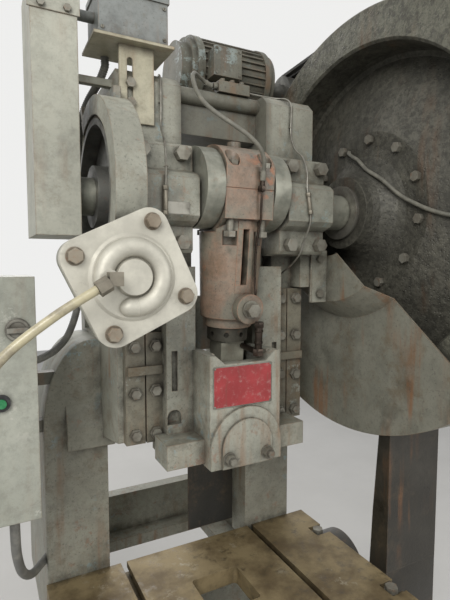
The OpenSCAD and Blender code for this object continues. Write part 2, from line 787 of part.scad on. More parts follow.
module motor_bracket() {
    color("#6d6f68") {
        block([motor_x - 20, motor_y - 150, motor_foot - 16], [motor_x + motor_len + 10, motor_y + 130, motor_foot]);
        for (y = [motor_y - 140, motor_y + 20]) block([motor_x - 20, y, crown_z - 14 + 0], [motor_x + 60, y + 16, motor_foot]);
        for (y = [motor_y - 140, motor_y + 20]) block([way_half + 3, y, crown_z], [head_out - 4, y + 16, motor_foot]);
    }
}

module motor() {
    color("#6f736c") {
        motor_frame();
        terminal_box();
    }
}

module motor_frame() {
    translate([0, motor_y, motor_z]) difference() {
        union() {
            xcyl(motor_r - 12, motor_x, motor_x + motor_len);
            for (a = [0:12:348]) rotate([a, 0, 0])
                block([motor_x + 40, -3, motor_r - 16], [motor_x + motor_len - 40, 3, motor_r - 3]);
            xcyl(motor_r, motor_x + 20, motor_x + 50);
            xcyl(motor_r, motor_x + motor_len - 50, motor_x + motor_len - 24);
            xcyl(motor_r - 30, motor_x - 36, motor_x + 1);
            xcyl(60, motor_x + motor_len - 1, motor_x + motor_len + 22);
            for (y = [-1, 1]) block([motor_x + 60, y * 90 - 40, -motor_r - 22], [motor_x + motor_len - 60, y * 90 + 40, -motor_r + 30]);
        }
        for (x = [motor_x + 80, motor_x + motor_len - 80], y = [-115, 115])
            translate([x, y, -motor_r - 23]) cylinder(r = 7, h = 40);
        xcyl(21 + run_fit, motor_x + motor_len - 60, motor_x + motor_len + 23);
    }
}

// Box for the motor's cables, on the side of its frame
module terminal_box() {
    translate([motor_x + 60, motor_y - motor_r - 50, motor_z - 60]) {
        cube([110, 100, 100]);
        translate([-4, -6, -4]) cube([118, 7, 108]);
    }
}

module motor_pulley() {
    color("#55564f") translate([0, motor_y, motor_z]) difference() {
        union() {
            xcyl(pulley_r, belt_x - 8, belt_x + belt_w + 8);
            xcyl(34, motor_x + motor_len + 24, belt_x);
            xcyl(21, motor_x + motor_len - 58, belt_x);
        }
        xcyl(pulley_r - 16, belt_x + belt_w - 20, belt_x + belt_w + 10);
    }
}

// Flat outline of a belt run round both wheels, grown by a margin
module belt_outline(margin) {
    ra = wheel_r + margin;
    rb = pulley_r + margin;
    dy = motor_y;
    dz = motor_z - axis_z;
    span = norm([dy, dz]);
    turn = atan2(dz, dy);
    open = acos((ra - rb) / span);
    circle(ra, $fn = 128);
    translate([dy, dz]) circle(rb);
    polygon([[ra * cos(turn + open), ra * sin(turn + open)], [ra * cos(turn - open), ra * sin(turn - open)],
        [dy + rb * cos(turn - open), dz + rb * sin(turn - open)],
        [dy + rb * cos(turn + open), dz + rb * sin(turn + open)]]);
}

module drive_belts() {
    color("#2c2b28") for (i = [0:2]) translate([belt_x + 6 + 32 * i, 0, axis_z]) rotate([90, 0, 90])
        linear_extrude(24) difference() {
            belt_outline(slide_gap + belt_t);
            belt_outline(slide_gap);
        }
}

// Places a piece on the connecting rod, with the pin at the origin and the ball below
module on_rod() {
    translate([0, pin_y, pin_z]) rotate([rod_lean, 0, 0]) children();
}

big_r = 126;
big_half = 110;
rod_bolt_x = big_end_w / 2 - 26;
rod_bolt_y = 91;
pin_bore = pin_r + run_fit;
barrel_foot = -rod_len + 154;
screw_r = 44;

// Rounded block of the big end, from a lower to an upper height
module big_end(low, high) {
    intersection() {
        union() {
            xcyl(big_r, -big_end_w / 2, big_end_w / 2);
            block([-big_end_w / 2, -big_half, -84], [big_end_w / 2, big_half, 58]);
        }
        block([-big_end_w / 2 - 1, -big_half, low], [big_end_w / 2 + 1, big_half, high]);
    }
}

module conrod() {
    color("#8b7568") on_rod() difference() {
        union() {
            big_end(-118, -0.5);
            translate([0, 0, barrel_foot + 30]) cylinder(r1 = barrel_d / 2, r2 = barrel_d / 2 + 10, h = -barrel_foot - 152);
            intersection() {
                translate([0, 0, -123]) cylinder(r = barrel_d / 2 + 10, h = 80);
                block([-big_end_w / 2, -barrel_d, -124], [big_end_w / 2, barrel_d, 0]);
            }
            translate([0, 0, barrel_foot]) cylinder(r = barrel_d / 2 - 14, h = 31);
            translate([0, 0, barrel_foot + 24]) cylinder(r1 = barrel_d / 2 - 14, r2 = barrel_d / 2, h = 10);
            translate([clamp_x, 0, clamp_h]) ycyl(44, -barrel_d / 2 - 26, 0);
        }
        xcyl(pin_bore, -big_end_w / 2 - 1, big_end_w / 2 + 1);
        translate([0, 0, barrel_foot - 1]) cylinder(r = screw_r + 0.1, h = 282);
        block([-18, -barrel_d, barrel_foot + 130], [18, 0, barrel_foot + 290]);
        for (z = [barrel_foot + 130, barrel_foot + 290]) translate([0, 0, z]) ycyl(18, -barrel_d, 0);
        for (x = [-rod_bolt_x, rod_bolt_x], y = [-rod_bolt_y, rod_bolt_y]) translate([x, y, -119]) {
            cylinder(r = 11.1, h = 120);
            translate([0, 0, -40]) cylinder(r = 24, h = 41);
        }
        translate([clamp_x, 0, clamp_h]) ycyl(12.1, -barrel_d / 2 - 27, -screw_r + 1);
    }
}

clamp_x = 14;
clamp_h = barrel_foot + 64;

module conrod_cap() {
    color("#98776a") on_rod() difference() {
        union() {
            big_end(0.5, big_r);
            translate([0, 0, big_r - 8]) cylinder(r = 20, h = 22);
        }
        xcyl(pin_bore, -big_end_w / 2 - 1, big_end_w / 2 + 1);
        for (x = [-rod_bolt_x, rod_bolt_x], y = [-rod_bolt_y, rod_bolt_y]) translate([x, y, 0]) {
            cylinder(r = 11.1, h = 140);
            translate([0, 0, 60]) cylinder(r = 21, h = 90);
        }
    }
}

module conrod_cap_bolts() {
    color("#7d6e60") on_rod() for (x = [-rod_bolt_x, rod_bolt_x], y = [-rod_bolt_y, rod_bolt_y])
        translate([x, y, 0]) {
            translate([0, 0, -136]) cylinder(r = 11, h = 200);
            translate([0, 0, 60]) cylinder(d = 38, h = 15, $fn = 6);
            translate([0, 0, -134.1]) cylinder(d = 38, h = 16, $fn = 6);
        }
}

module adjusting_screw() {
    color("#6f6e64") on_rod() union() {
        translate([0, 0, -rod_len + 104]) cylinder(r = screw_r, h = 250);
        translate([-39, -39, -rod_len + 42]) cube([78, 78, 64]);
        translate([0, 0, -rod_len]) cylinder(r = 26, h = 44);
        translate([0, 0, -rod_len]) sphere(d = ball_d);
    }
}

module lock_collar() {
    color("#5c5a50") on_rod() translate([0, 0, barrel_foot - 42]) difference() {
        cylinder(r = 63, h = 40);
        translate([0, 0, -1]) cylinder(r = screw_r + 0.1, h = 42);
        for (a = [15:45:330]) rotate([0, 0, a]) translate([0, 0, 20]) ycyl(7.5, -70, -52);
    }
}

module clamp_bolt() {
    color("#8b8471") on_rod() translate([clamp_x, -barrel_d / 2 - 26, clamp_h]) {
        rotate([90, 0, 0]) cylinder(r = 26, h = 5);
        translate([0, -5, 0]) rotate([90, 0, 0]) cylinder(d = 42, h = 22, $fn = 6);
        ycyl(12, -1, 60);
    }
}

tube_y = -barrel_d / 2 - 46;
tube_foot = -rod_len + 70;

rod_pipe = [[30, -121, -4], [30, -121, -20], [31, -119, -60], [32, -117, -86], [33, -106, -112], [34, -99, -140],
    [34, -95, -170], [35, -93, -220], [37, -92, -270], [40, -94, -290], [40, -94, -303.6]];

module conrod_oil_tube() {
    color("#3b2f2a") on_rod() {
        translate([34, tube_y, tube_foot]) cylinder(r = 11, h = clamp_h - tube_foot - 48);
        translate([34, tube_y, tube_foot - 12]) cylinder(d = 34, h = 24, $fn = 6);
        translate([34, 0, tube_foot + 4]) ycyl(9, tube_y, -39.2);
        translate([34, tube_y, clamp_h - 50]) cylinder(d = 30, h = 16, $fn = 6);
        tube(rod_pipe, 3.5, 8, 3, [1, 0, 0]);
        translate([30, -121, -6]) cylinder(d = 20, h = 16, $fn = 6);
        translate([30, -121, 9]) cylinder(r = 7, h = 14);
        block([22, -122, -5], [38, -110.1, 9]);
    }
}

box_top = slide_foot + box_h;
ear_back = 8;
arch_z = slide_foot + 55;
pocket_back = ball_d / 2 + throw + 4;
socket_floor = ball_z - ball_d / 2 - socket_slack - ball_gap;

// Arch outline of the die clamp in the front view, from a lower edge
module clamp_outline(r, low) {
    translate([-r, low]) square([2 * r, arch_z - low]);
    intersection() {
        translate([0, arch_z]) circle(r);
        translate([-r, low]) square([2 * r, 2 * r]);
    }
}

// Plan of one slide way, drawn on the right side
module way_plan() {
    polygon([[box_half - 10, -10], [wing_half, -10], [wing_half, gib_front - slide_gap],
        [neck_half, gib_front - slide_gap], [neck_half, tongue_front], [tongue_half, tongue_front],
        [tongue_half, tongue_back], [neck_half - 0.7, tongue_back], [neck_half - 0.7, 175],
        [head_in - 4, 175], [head_in - 4, 20], [box_half - 10, 20]]);
}

module slide_body() {
    block([-box_half, -slide_front, slide_foot], [box_half, 21, box_top]);
    block([-neck_half + 1, -9, slide_foot], [neck_half - 1, 174, box_top - 60]);
    both() {
        translate([0, 0, slide_foot]) linear_extrude(wing_h) way_plan();
        block([box_half - 10, 20, slide_foot], [head_in - 4, 174, slide_foot + post_h]);
        block([box_half - 1, -95, slide_foot + 8], [234, ear_back, slide_foot + 80]);
    }
    block([-head_in, 150, slide_foot], [head_in, 175, slide_foot + 480]);
    translate([0, -slide_front + 1, 0]) rotate([90, 0, 0]) linear_extrude(9)
        clamp_outline(box_half, slide_foot);
}

module slide() {
    color("#87897d") difference() {
        slide_body();
        block([-86, -slide_front + 38, socket_floor], [86, 149, slide_foot + wing_h + 1]);
        block([-head_in + 3, 21, box_top - 60], [head_in - 3, 149, slide_foot + wing_h + 1]);
        translate([0, 200, box_top]) rotate([90, 0, 0]) linear_extrude(400)
            polygon([[-86, 1], [-44, -34], [44, -34], [86, 1]]);
        translate([0, -0.2, 0]) rotate([90, 0, 0]) linear_extrude(slide_front + 20) clamp_outline(clamp_r + slide_gap, slide_foot - 1);
        translate([0, 0, slide_foot - 1]) cylinder(d = shank_d, h = 106);
        for (x = [-stud_x, stud_x]) translate([x, 0, stud_z]) ycyl(10.1, -1, 45);
        both() {
            translate([wing_half - 26, -11, slide_foot + 210]) block([-9, 0, 0], [9, 14, 120]);
            translate([wing_half - 24, -11, slide_foot + 130]) ycyl(22, 0, 26);
            block([wing_half - 46, -11, slide_foot + 108], [wing_half - 2, 15, slide_foot + 130]);
        }
    }
}

stud_x = clamp_r - 21;
stud_z = slide_foot + 29;

module die_clamp() {
    color("#8f9184") difference() {
        translate([0, -0.5, 0]) rotate([90, 0, 0]) linear_extrude(slide_front + 14)
            clamp_outline(clamp_r, slide_foot);
        translate([0, 0, slide_foot - 1]) cylinder(d = shank_d, h = 106);
        for (x = [-stud_x, stud_x]) translate([x, 0, stud_z]) ycyl(10.1, -slide_front - 20, 1);
    }
}

module clamp_studs() {
    color("#8c8a7d") for (x = [-stud_x, stud_x]) translate([x, 0, stud_z]) {
        ycyl(10, -slide_front - 44, 40);
        translate([0, -slide_front - 14.5, 0]) rotate([90, 0, 0]) cylinder(r = 20, h = 4);
        translate([0, -slide_front - 18.5, 0]) rotate([90, 0, 0]) cylinder(d = 34, h = 16, $fn = 6);
    }
}

// Bolt places of the gibs on one side, as distance from the slide centre and height
function gib_bolt_sites(side) = concat(
    [for (z = [30, 160, 294]) [gib_in + gib_in_w / 2 + 4, gib_z + z]],
    [for (z = [30, 155, 293]) [gib_out + gib_out_w / 2 + 2, gib_z + z]],
    side > 0 ? [[gib_in + gib_in_w / 2 + 4, gib_z + 420], [gib_out + gib_out_w / 2 + 2, gib_z + 420]] : []);

// Gib plates of one side, drawn on the right
module side_gibs(side) {
    h = side > 0 ? gib_h[1] : gib_h[0];
    difference() {
        union() {
            block([gib_in, gib_front, gib_z], [gib_in + gib_in_w, gib_face - 0.1, gib_z + h]);
            block([gib_out, gib_front, gib_z], [gib_out + gib_out_w, gib_face - 0.1, gib_z + h]);
            block([wing_half + 2, gib_front - 14, gib_z + 210], [gib_out + gib_out_w - 4, gib_front + 1, gib_z + 236]);
        }
        for (b = gib_bolt_sites(side)) translate([b[0], 0, b[1]]) ycyl(10.1, gib_front - 1, gib_face + 1);
    }
}

module gib_plates() {
    color("#84867a") {
        side_gibs(1);
        mirror([1, 0, 0]) side_gibs(-1);
    }
}

// Bolts with jam nuts of one side, drawn on the right
module side_gib_bolts(side) {
    for (b = gib_bolt_sites(side)) translate([b[0], gib_front, b[1]]) {
        front_bolt(34, 10, 10, gib_t + 40);
        translate([0, -10, 0]) rotate([90, 0, 0]) cylinder(d = 30, h = 9, $fn = 6);
    }
}

module gib_bolts() {
    color("#77756a") {
        side_gib_bolts(1);
        mirror([1, 0, 0]) side_gib_bolts(-1);
    }
}

left_lube = [[30, 78.4, 2337], [22, 106, 2335], [-40, 130, 2328], [-150, 110, 2326], [-198, 40, 2325], [-208, 6, 2314],
    [-210, -7, 2284], [-210, -7, 2220], [-214, -16, 2170], [-224, -60, 2134], [-234, -98, 2105], [-241, -126, 2060],
    [-245, -136, 2010], [-247, -136, 1950], [-246, -130, 1900], [-243, -100, 1850], [-240, -84, 1810], [-236, -40, 1775],
    [-233, 16, 1740], [-231, 42, 1690], [-230, 46, 1630], [-230, 46, 1580.6]];
right_lube = [[110.6, 61, 2337], [140, 60, 2335], [205, 44, 2329], [230, 16, 2322], [237, -5, 2300], [237, -7, 2260],
    [237, -7, 2200], [232, -40, 2148], [224, -90, 2112], [214, -126, 2060], [207, -136, 2015], [214, -136, 1975],
    [221, -136, 1940], [223, -130, 1900], [222, -100, 1850], [221, -84, 1815], [220, -40, 1780], [220, 14, 1752],
    [220, 44, 1724], [220, 46, 1700.6]];

module lube_lines() {
    color("#6b6a60") {
        tube(left_lube, 3, 8, 4, [1, 0, 0]);
        tube(right_lube, 3, 8, 4, [1, 0, 0]);
    }
}

module grease_manifold() {
    color("#7f8078") {
        block([0, 44, crown_z], [110, 78, crown_z + 34]);
        for (x = [20, 55, 90]) translate([x, 61, crown_z + 33]) cylinder(r = 8, h = 12);
        translate([0, 60, crown_z + 18]) xcyl(11, -14, 1);
    }
}

grease_route = [[-15, 60, 2338], [-30, 60, 2340], [-64, 44, 2348], [-100, 6, 2342], [-126, -40, 2310], [-134, -80, 2262],
    [-128, -118, 2218], [-104, -150, 2182], [-66, -176, 2150], [-26, -190, 2122], [6, -192, 2094], [24, -182, 2066],
    [30, -170, 2042], [30, -168, 2030], [30, -165.9, 2014.4]];

module grease_hose() {
    color("#6a6a60") tube(grease_route, 6, 8, 5, [0, 0, 1]);
}

chain_x = -502;
chain_y = -80;
chain_top = 2470;
chain_low = 1853;
sheet_t = 3;

module chain_guard() {
    color("#a3a597") difference() {
        union() {
            block([chain_x - 54, chain_y, chain_low], [chain_x + 54, 120, chain_top]);
            block([chain_x - 60, chain_y - 3, chain_top - 90], [chain_x + 60, chain_y + 1, chain_top - 30]);
            block([chain_x + 53, 60, 2280], [-head_out, 80, 2300]);
        }
        block([chain_x - 54 + sheet_t, chain_y + sheet_t, chain_low + sheet_t], [chain_x + 54 - sheet_t, 121, chain_top - sheet_t]);
        translate([0, 0, axis_z]) xcyl(left_r + 8, chain_x, chain_x + 60);
    }
}

bracket_t = 8;
slot_x = -298;
slot_foot = 2170;

module slotted_bracket() {
    color("#b7ae8f") difference() {
        union() {
            block([-328, -bracket_t, slot_foot], [-230, -0.1, 2382]);
            block([-400, -bracket_t - 30, 2374], [-180, 120, 2382]);
        }
        for (z = [slot_bolt_z[0], slot_bolt_z[1] + 60]) translate([slot_x, 0, slot_foot + z]) ycyl(8.1, -20, 20);
        block([slot_x - 8.1, -20, slot_foot + slot_bolt_z[0]], [slot_x + 8.1, 20, slot_foot + slot_bolt_z[1] + 60]);
    }
}

module cam_switch_box() {
    color("#7f8a90") {
        block([-386, -30, 2382], [-196, 100, 2500]);
        block([-390, -34, 2492], [-192, 104, 2506]);
        translate([0, 30, 2440]) xcyl(14, -448, -385);
    }
}

conduit_route = [[-340, 100, 2373.4], [-340, 100, 2362], [-341, 101, 2346], [-354, 118, 2310], [-384, 158, 2250],
    [-400, 180, 2180], [-400, 230, 2060], [-395, 262, 1900], [-395, 276, 1760], [-400, 280, 1650], [-430, 276, 1560],
    [-470, 262, 1514], [-520, 236, 1492], [-570, 206, 1486], [-610, 182, 1482], [-628, 164, 1480], [-632, 144, 1480],
    [-632, 132, 1480], [-632, 120.5, 1480]];

module flexible_conduit() {
    color("#6d6d68") tube(conduit_route, 12, 8, 4, [1, 0, 0]);
}

hinge_out = 7;
hinge_z = [cab_top - cab_h + 60, cab_top - 110];

module control_cabinet() {
    color("#8e9288") {
        cabinet_box();
        for (z = hinge_z) translate([cab_left - hinge_out, cab_y + door_t, z]) {
            cylinder(r = 6.5, h = 25);
            cylinder(r = 4, h = 52);
            block([0, 1, 0], [hinge_out, 6.5, 25]);
        }
    }
}

module cabinet_box() {
    difference() {
        block([cab_left, cab_y + door_t, cab_top - cab_h], [-cab_x, cab_y + cab_d, cab_top]);
        block([cab_left + skin_t, cab_y + door_t - 1, cab_top - cab_h + skin_t],
            [-cab_x - skin_t, cab_y + cab_d - skin_t, cab_top - skin_t]);
        for (x = conduit_x) translate([x, 20, cab_top - cab_h - 1]) cylinder(r = 14, h = 5);
    }
}

door_gap = 1;

module cabinet_door() {
    color("#949890") difference() {
        union() {
            block([cab_left, cab_y, cab_top - cab_h], [-cab_x, cab_y + door_t - door_gap, cab_top]);
            for (z = hinge_z) translate([cab_left - hinge_out, cab_y + door_t, z + 25.3]) {
                cylinder(r = 6.5, h = 26);
                block([0, -6.5, 0], [hinge_out + 0.5, -door_gap, 26]);
            }
        }
        for (z = hinge_z) translate([cab_left - hinge_out, cab_y + door_t, z]) cylinder(r = 4.05, h = 60);
        block([cab_left + skin_t, cab_y + skin_t, cab_top - cab_h + skin_t],
            [-cab_x - skin_t, cab_y + door_t, cab_top - skin_t]);
        translate([latch_x, 0, latch_z]) ycyl(11.1, cab_y - 1, cab_y + 10);
        translate([button_x, 0, button_z]) ycyl(15.1, cab_y - 1, cab_y + 10);
    }
}

latch_x = -cab_x - 42;
latch_z = cab_top - 127;
button_x = -cab_x - 82;
button_z = cab_top - 300;

module door_latch() {
    color("#a9a99f") translate([latch_x, cab_y, latch_z]) {
        translate([0, -0.3, 0]) rotate([90, 0, 0]) cylinder(r = 28, h = 6);
        difference() {
            translate([0, -6, 0]) rotate([90, 0, 0]) cylinder(r = 26, h = 3);
            ycyl(20, -10, -7);
        }
        block([-24, -16, -6], [24, -6, 6]);
        ycyl(11, -1, 14);
        block([-8, 10, -34], [8, 14, 8]);
    }
}

// Button in its guide tube, with the guide's flange in front of the door
module start_button() {
    color("#2f8f4e") translate([button_x, cab_y, button_z]) {
        ycyl(button_r, -16, 10);
        ycyl(6, 9, 24);
    }
}

module button_bezel() {
    color("#26272a") translate([button_x, cab_y, button_z]) difference() {
        union() {
            ycyl(20, -9, -0.1);
            ycyl(15, -1, 16);
            ycyl(20, skin_t + 0.1, 8);
        }
        ycyl(button_r + 0.1, -10, 17);
    }
}

button_r = 11;

conduit_x = [-cab_x - 58, -cab_x - 110];

module cabinet_bracket() {
    color("#6f726b") {
        for (z = [cab_top - cab_h + 90, cab_top - 360]) {
            block([cab_left + 60, throat_y + 10, z], [-upright_out, throat_y + 50, z + 40]);
            for (x = [cab_left + 80, -cab_x - 60]) block([x, cab_y + cab_d, z], [x + 40, throat_y + 11, z + 40]);
        }
    }
}

// Bezel, legend plate and guard tube of the button, and the conduits under the cabinet
module cabinet_conduits() {
    color("#6a6c66") {
        tube([[-620, 20, 1119.9], [-620, 22, 1080], [-616, 50, 990], [-600, 110, 900], [-570, 200, 830],
            [-530, 300, 795], [-490, 370, 786], [-470, 380, 785], [-458, 380, 785],
            [-446, 380, 785]], 13, 8, 4, [1, 0, 0]);
        translate([conduit_x[1], 20, cab_top - cab_h - 26]) cylinder(r = 17, h = 25.9);
        translate([conduit_x[0], 20, cab_top - cab_h - 26]) cylinder(r = 17, h = 25.9);
    }
}

panel_y = throat_y + upright_t;

module rear_panel() {
    color("#3c3b3a") difference() {
        block([37, panel_y, bed_face + 40], [upright_out - right_w + 60, panel_y + 4, 1140]);
        translate([60, panel_y - 1, 1000]) cube([60, 6, 20]);
    }
}

left_leg();
right_leg();
leg_tie_rods();
incline_pins();
incline_lock_bolts();
frame();
bolster_plate();
frame_bolts();
left_bearing_cap();
right_bearing_cap();
cap_bolts();
main_bearings();
crankshaft();
brake_drum();
brake_housing();
brake_lining();
actuator_housing();
actuator_diaphragm();
actuator_cover();
actuator_bolts();
air_fittings();
air_hose();
flywheel();
flywheel_bolts();
flywheel_bearing();
flywheel_air_line();
guard_sheet();
guard_stand();
guard_bracket();
motor();
motor_bracket();
motor_pulley();
drive_belts();
conrod();
conrod_cap();
conrod_cap_bolts();
adjusting_screw();
lock_collar();
clamp_bolt();
conrod_oil_tube();
slide();
die_clamp();
clamp_studs();
gib_plates();
gib_bolts();
lube_lines();
grease_manifold();
grease_hose();
chain_guard();
slotted_bracket();
cam_switch_box();
flexible_conduit();
control_cabinet();
cabinet_door();
door_latch();
start_button();
button_bezel();
cabinet_bracket();
cabinet_conduits();
rear_panel();
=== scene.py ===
import json
from math import asin, cos, pi, radians, sin, sqrt

import bmesh
import bpy
from bpy.props import FloatProperty, FloatVectorProperty, IntProperty, PointerProperty
from bpy.types import NodeSocket, Operator, Panel, PropertyGroup
from mathutils import Matrix, Vector


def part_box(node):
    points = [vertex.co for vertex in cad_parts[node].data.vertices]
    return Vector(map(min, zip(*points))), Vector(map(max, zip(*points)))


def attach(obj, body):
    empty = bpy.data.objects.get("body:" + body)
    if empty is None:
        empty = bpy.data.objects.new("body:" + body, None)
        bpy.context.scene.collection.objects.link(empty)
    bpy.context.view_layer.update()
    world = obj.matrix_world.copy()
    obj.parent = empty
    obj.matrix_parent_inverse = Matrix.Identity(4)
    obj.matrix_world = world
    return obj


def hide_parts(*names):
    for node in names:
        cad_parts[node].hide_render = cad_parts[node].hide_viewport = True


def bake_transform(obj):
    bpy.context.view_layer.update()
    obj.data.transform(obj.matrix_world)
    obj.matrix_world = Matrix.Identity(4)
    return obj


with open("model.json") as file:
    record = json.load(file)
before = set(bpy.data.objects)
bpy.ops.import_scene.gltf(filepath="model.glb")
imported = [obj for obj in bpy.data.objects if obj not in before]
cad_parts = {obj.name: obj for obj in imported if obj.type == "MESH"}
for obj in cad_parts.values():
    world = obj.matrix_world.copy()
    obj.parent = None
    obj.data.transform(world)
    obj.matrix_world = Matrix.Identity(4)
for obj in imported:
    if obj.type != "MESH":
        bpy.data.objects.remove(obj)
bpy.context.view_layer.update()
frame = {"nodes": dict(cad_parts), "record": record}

bl_info = {
    "name": "Stamping press dressing",
    "version": (1, 0, 0),
    "blender": (4, 5, 0),
    "location": "View3D > Sidebar > Press",
    "description": "Finishes, plates, hoses and small fittings of a mechanical stamping press",
    "category": "Object",
}

NODES = frame["nodes"]
JOINTS = {joint["name"]: joint for joint in frame["record"]["behaviour"]["joints"]}
MM = 0.001
SHARP = radians(35)
BACK = (0, 1, 0)
FRONT = (0, -1, 0)
UP = (0, 0, 1)

# Hoses, pipes and conduits: routes and radii in millimetres, the ferrule's waves in radians per metre
AIR_HOSE = [
    (-476, -372, 1732), (-560, -372, 1681), (-650, -378, 1611), (-700, -415, 1540), (-735, -440, 1440),
    (-748, -450, 1300), (-750, -445, 1190), (-748, -390, 1100), (-744, -260, 1046), (-741, -120, 1026),
    (-740, -20, 1038), (-740, 14, 1058), (-740, 20, 1086), (-740, 20, 1104), (-740, 20, 1119.8),
]
AIR_RADIUS = 9.5
WHEEL_LINE = [
    (557, 66, 2196), (550.6, 66, 2196), (544, 58, 2189), (538, 32, 2172), (534, -1, 2153),
    (520, -60, 2108), (516, -134, 2063), (532, -190, 2010), (543, -243, 1976), (553, -305, 1946),
    (572, -370, 1925), (598, -450, 1914), (609, -498, 1911), (608, -535, 1909), (606, -546, 1907.5),
    (606, -554, 1907),
]
WHEEL_LINE_RADIUS = 6.5
LEFT_LUBE = [
    (30, 78.4, 2337), (22, 106, 2335), (-40, 130, 2328), (-150, 110, 2326), (-198, 40, 2325),
    (-208, 6, 2314), (-210, -7, 2284), (-210, -7, 2220), (-214, -16, 2170), (-224, -60, 2134),
    (-234, -98, 2105), (-241, -126, 2060), (-245, -136, 2010), (-247, -136, 1950), (-246, -130, 1900),
    (-243, -100, 1850), (-240, -84, 1810), (-236, -40, 1775), (-233, 16, 1740), (-231, 42, 1690),
    (-230, 46, 1630), (-230, 46, 1580.6),
]
RIGHT_LUBE = [
    (110.6, 61, 2337), (140, 60, 2335), (205, 44, 2329), (230, 16, 2322), (237, -5, 2300),
    (237, -7, 2260), (237, -7, 2200), (232, -40, 2148), (224, -90, 2112), (214, -126, 2060),
    (207, -136, 2015), (214, -136, 1975), (221, -136, 1940), (223, -130, 1900), (222, -100, 1850),
    (221, -84, 1815), (220, -40, 1780), (220, 14, 1752), (220, 44, 1724), (220, 46, 1700.6),
]
LUBE_RADIUS = 3
LUBE_SIDES = 10
GREASE_HOSE = [
    (-15, 60, 2338), (-30, 60, 2340), (-64, 44, 2348), (-100, 6, 2342), (-126, -40, 2310),
    (-134, -80, 2262), (-128, -118, 2218), (-104, -150, 2182), (-66, -176, 2150), (-26, -190, 2122),
    (6, -192, 2094), (24, -182, 2066), (30, -170, 2042), (30, -168, 2030), (30, -165.9, 2014.4),
]
GREASE_RADIUS = 6
FERRULE_RADIUS = 8.2
FERRULE_CRIMP = 0.5
FERRULE_WAVE = 900
FERRULE_POINTS = 8
SWITCH_CONDUIT = [
    (-340, 100, 2373.4), (-340, 100, 2362), (-341, 101, 2346), (-354, 118, 2310), (-384, 158, 2250),
    (-400, 180, 2180), (-400, 230, 2060), (-395, 262, 1900), (-395, 276, 1760), (-400, 280, 1650),
    (-430, 276, 1560), (-470, 262, 1514), (-520, 236, 1492), (-570, 206, 1486), (-610, 182, 1482),
    (-628, 164, 1480), (-632, 144, 1480), (-632, 132, 1480), (-632, 120.5, 1480),
]
SWITCH_RADIUS = 12
RIB_DEPTH = 1.4
CABINET_CONDUIT = [
    (-620, 20, 1119.9), (-620, 22, 1080), (-616, 50, 990), (-600, 110, 900), (-570, 200, 830),
    (-530, 300, 795), (-490, 370, 786), (-470, 380, 785), (-458, 380, 785), (-446, 380, 785),
]
CABINET_RADIUS = 13
GLAND_Y = 20
GLAND_X = (-620, -672)
GLAND_NUT = (36, 9.8)
GLAND_COLLAR = (15, 17, (-26, -24, -10, -10))

# Gaps between the points of the hoses, the conduit's ribs and the welds, in metres
HOSE_GAP = 0.006
GREASE_GAP = 0.004
CABINET_GAP = 0.008
ROD_PIPE_GAP = 0.005
RIB_PITCH = 0.006
WELD_GAP = 0.0016

# The crank's axis, the connecting rod's length and the slide's arch, in millimetres
AXIS_Z = 1962
ROD_LENGTH = 560
SLIDE_ARCH = 8

# Where the flywheel's paint and the crown's painted shade with soot start, in metres
RIM_INSIDE = 0.552
RIM_FADE = 0.02
CROWN_HALF = 0.175
CROWN_LOW = 2.02

# Bare plates in millimetres: left, foot, right and top
WARNING = (-108, 1370.5, 88, 1492)
NAMEPLATE = (-246, 1914, -176, 1946)
PLATE_SEAT = 0.05
FIELD_INSET = 3
FIELD_PROUD = 0.25
RIVET_INSET = 6
SMALL_INSET = 4
RIVET = (3.2, 1.6)
SMALL_RIVET = (2, 1)

# Threads in millimetres: the adjusting screw in the rod's frame, with the half angle that shows, and the
# clamp's studs, with their share of its depth
SCREW_RADIUS = 44.05
SCREW_LOW = -306
SCREW_TOP = -206
SCREW_PITCH = 6
STUD_X = 63
STUD_Z = 1224
STUD_RADIUS = 9.9
STUD_PITCH = 2
STUD_THREAD = 9
STUD_SHARE = 0.6
SCREW_SHOWN = 30

# Couplings and clips of the lubrication pipes in millimetres
COUPLINGS = (((-247, -136, 1909), (-246.5, -136, 1985)), ((221.5, -136, 1934), (211, -136, 1998)))
COUPLING_RADIUS = 6.4
COUPLING_NUT = (0, 1.5, 11, 12)
CLIPS = ((-210, -3, 2236), (237, -3, 2226), (-244, -133, 2032))
CLIP_HALF = 4
CLIP_OUTSIDE = 5.2
CLIP_INSIDE = 3.4

# Oil tube of the connecting rod in millimetres of the rod's frame
TUBE_X = 34
TUBE_Y = -132
TUBE_FOOT = -471
TUBE_TOP = -388
TUBE_RADIUS = 11
TUBE_BAND = 12.6
TUBE_NUTS = (17, 15)
STUB_RADIUS = 9
BARREL_FRONT = 39.2
ELBOW = (30, -121, 0)
ELBOW_NUT = (9.4, 10, (-6, -5, 9, 10))
ELBOW_CAP = [(7, 9.5), (7, 22), (6, 23)]
ELBOW_BLOCK = ((22, -122, -5), (38, -110.1, 9))
BLOCK_EDGE = 1.2
ROD_PIPE = [
    (30, -121, -4), (30, -121, -20), (31, -119, -60), (32, -117, -86), (33, -106, -112),
    (34, -99, -140), (34, -95, -170), (35, -93, -220), (37, -92, -270), (40, -94, -290),
    (40, -94, -303.6),
]
ROD_PIPE_RADIUS = 3.5

# Actuator cover: its centre, its lean in degrees, and places on its own axis in millimetres
COVER_SPOT = (-389, -300, AXIS_Z - 208)
COVER_LEAN = 25
COVER_BOLT = 90
COVER_FACE = -21.2
COVER_HEX = (29, 13)
WASHER = [(19, 0), (19, 2.2), (18.2, 2.8)]
SCROLL_TURN = (253, 217)
SCROLL_REACH = 64
SCROLL_FACE = -24
SCROLL_RADIUS = 20.9

# Screwed covers of the terminal box and the cam switch in millimetres: left, right, front, foot, top
COVERS = ((116, 234, 314, 2486, 2594), (-386, -196, -30, 2386, 2488))
COVER_SCREW = (4.6, 2.6)
COVER_INSET = 10

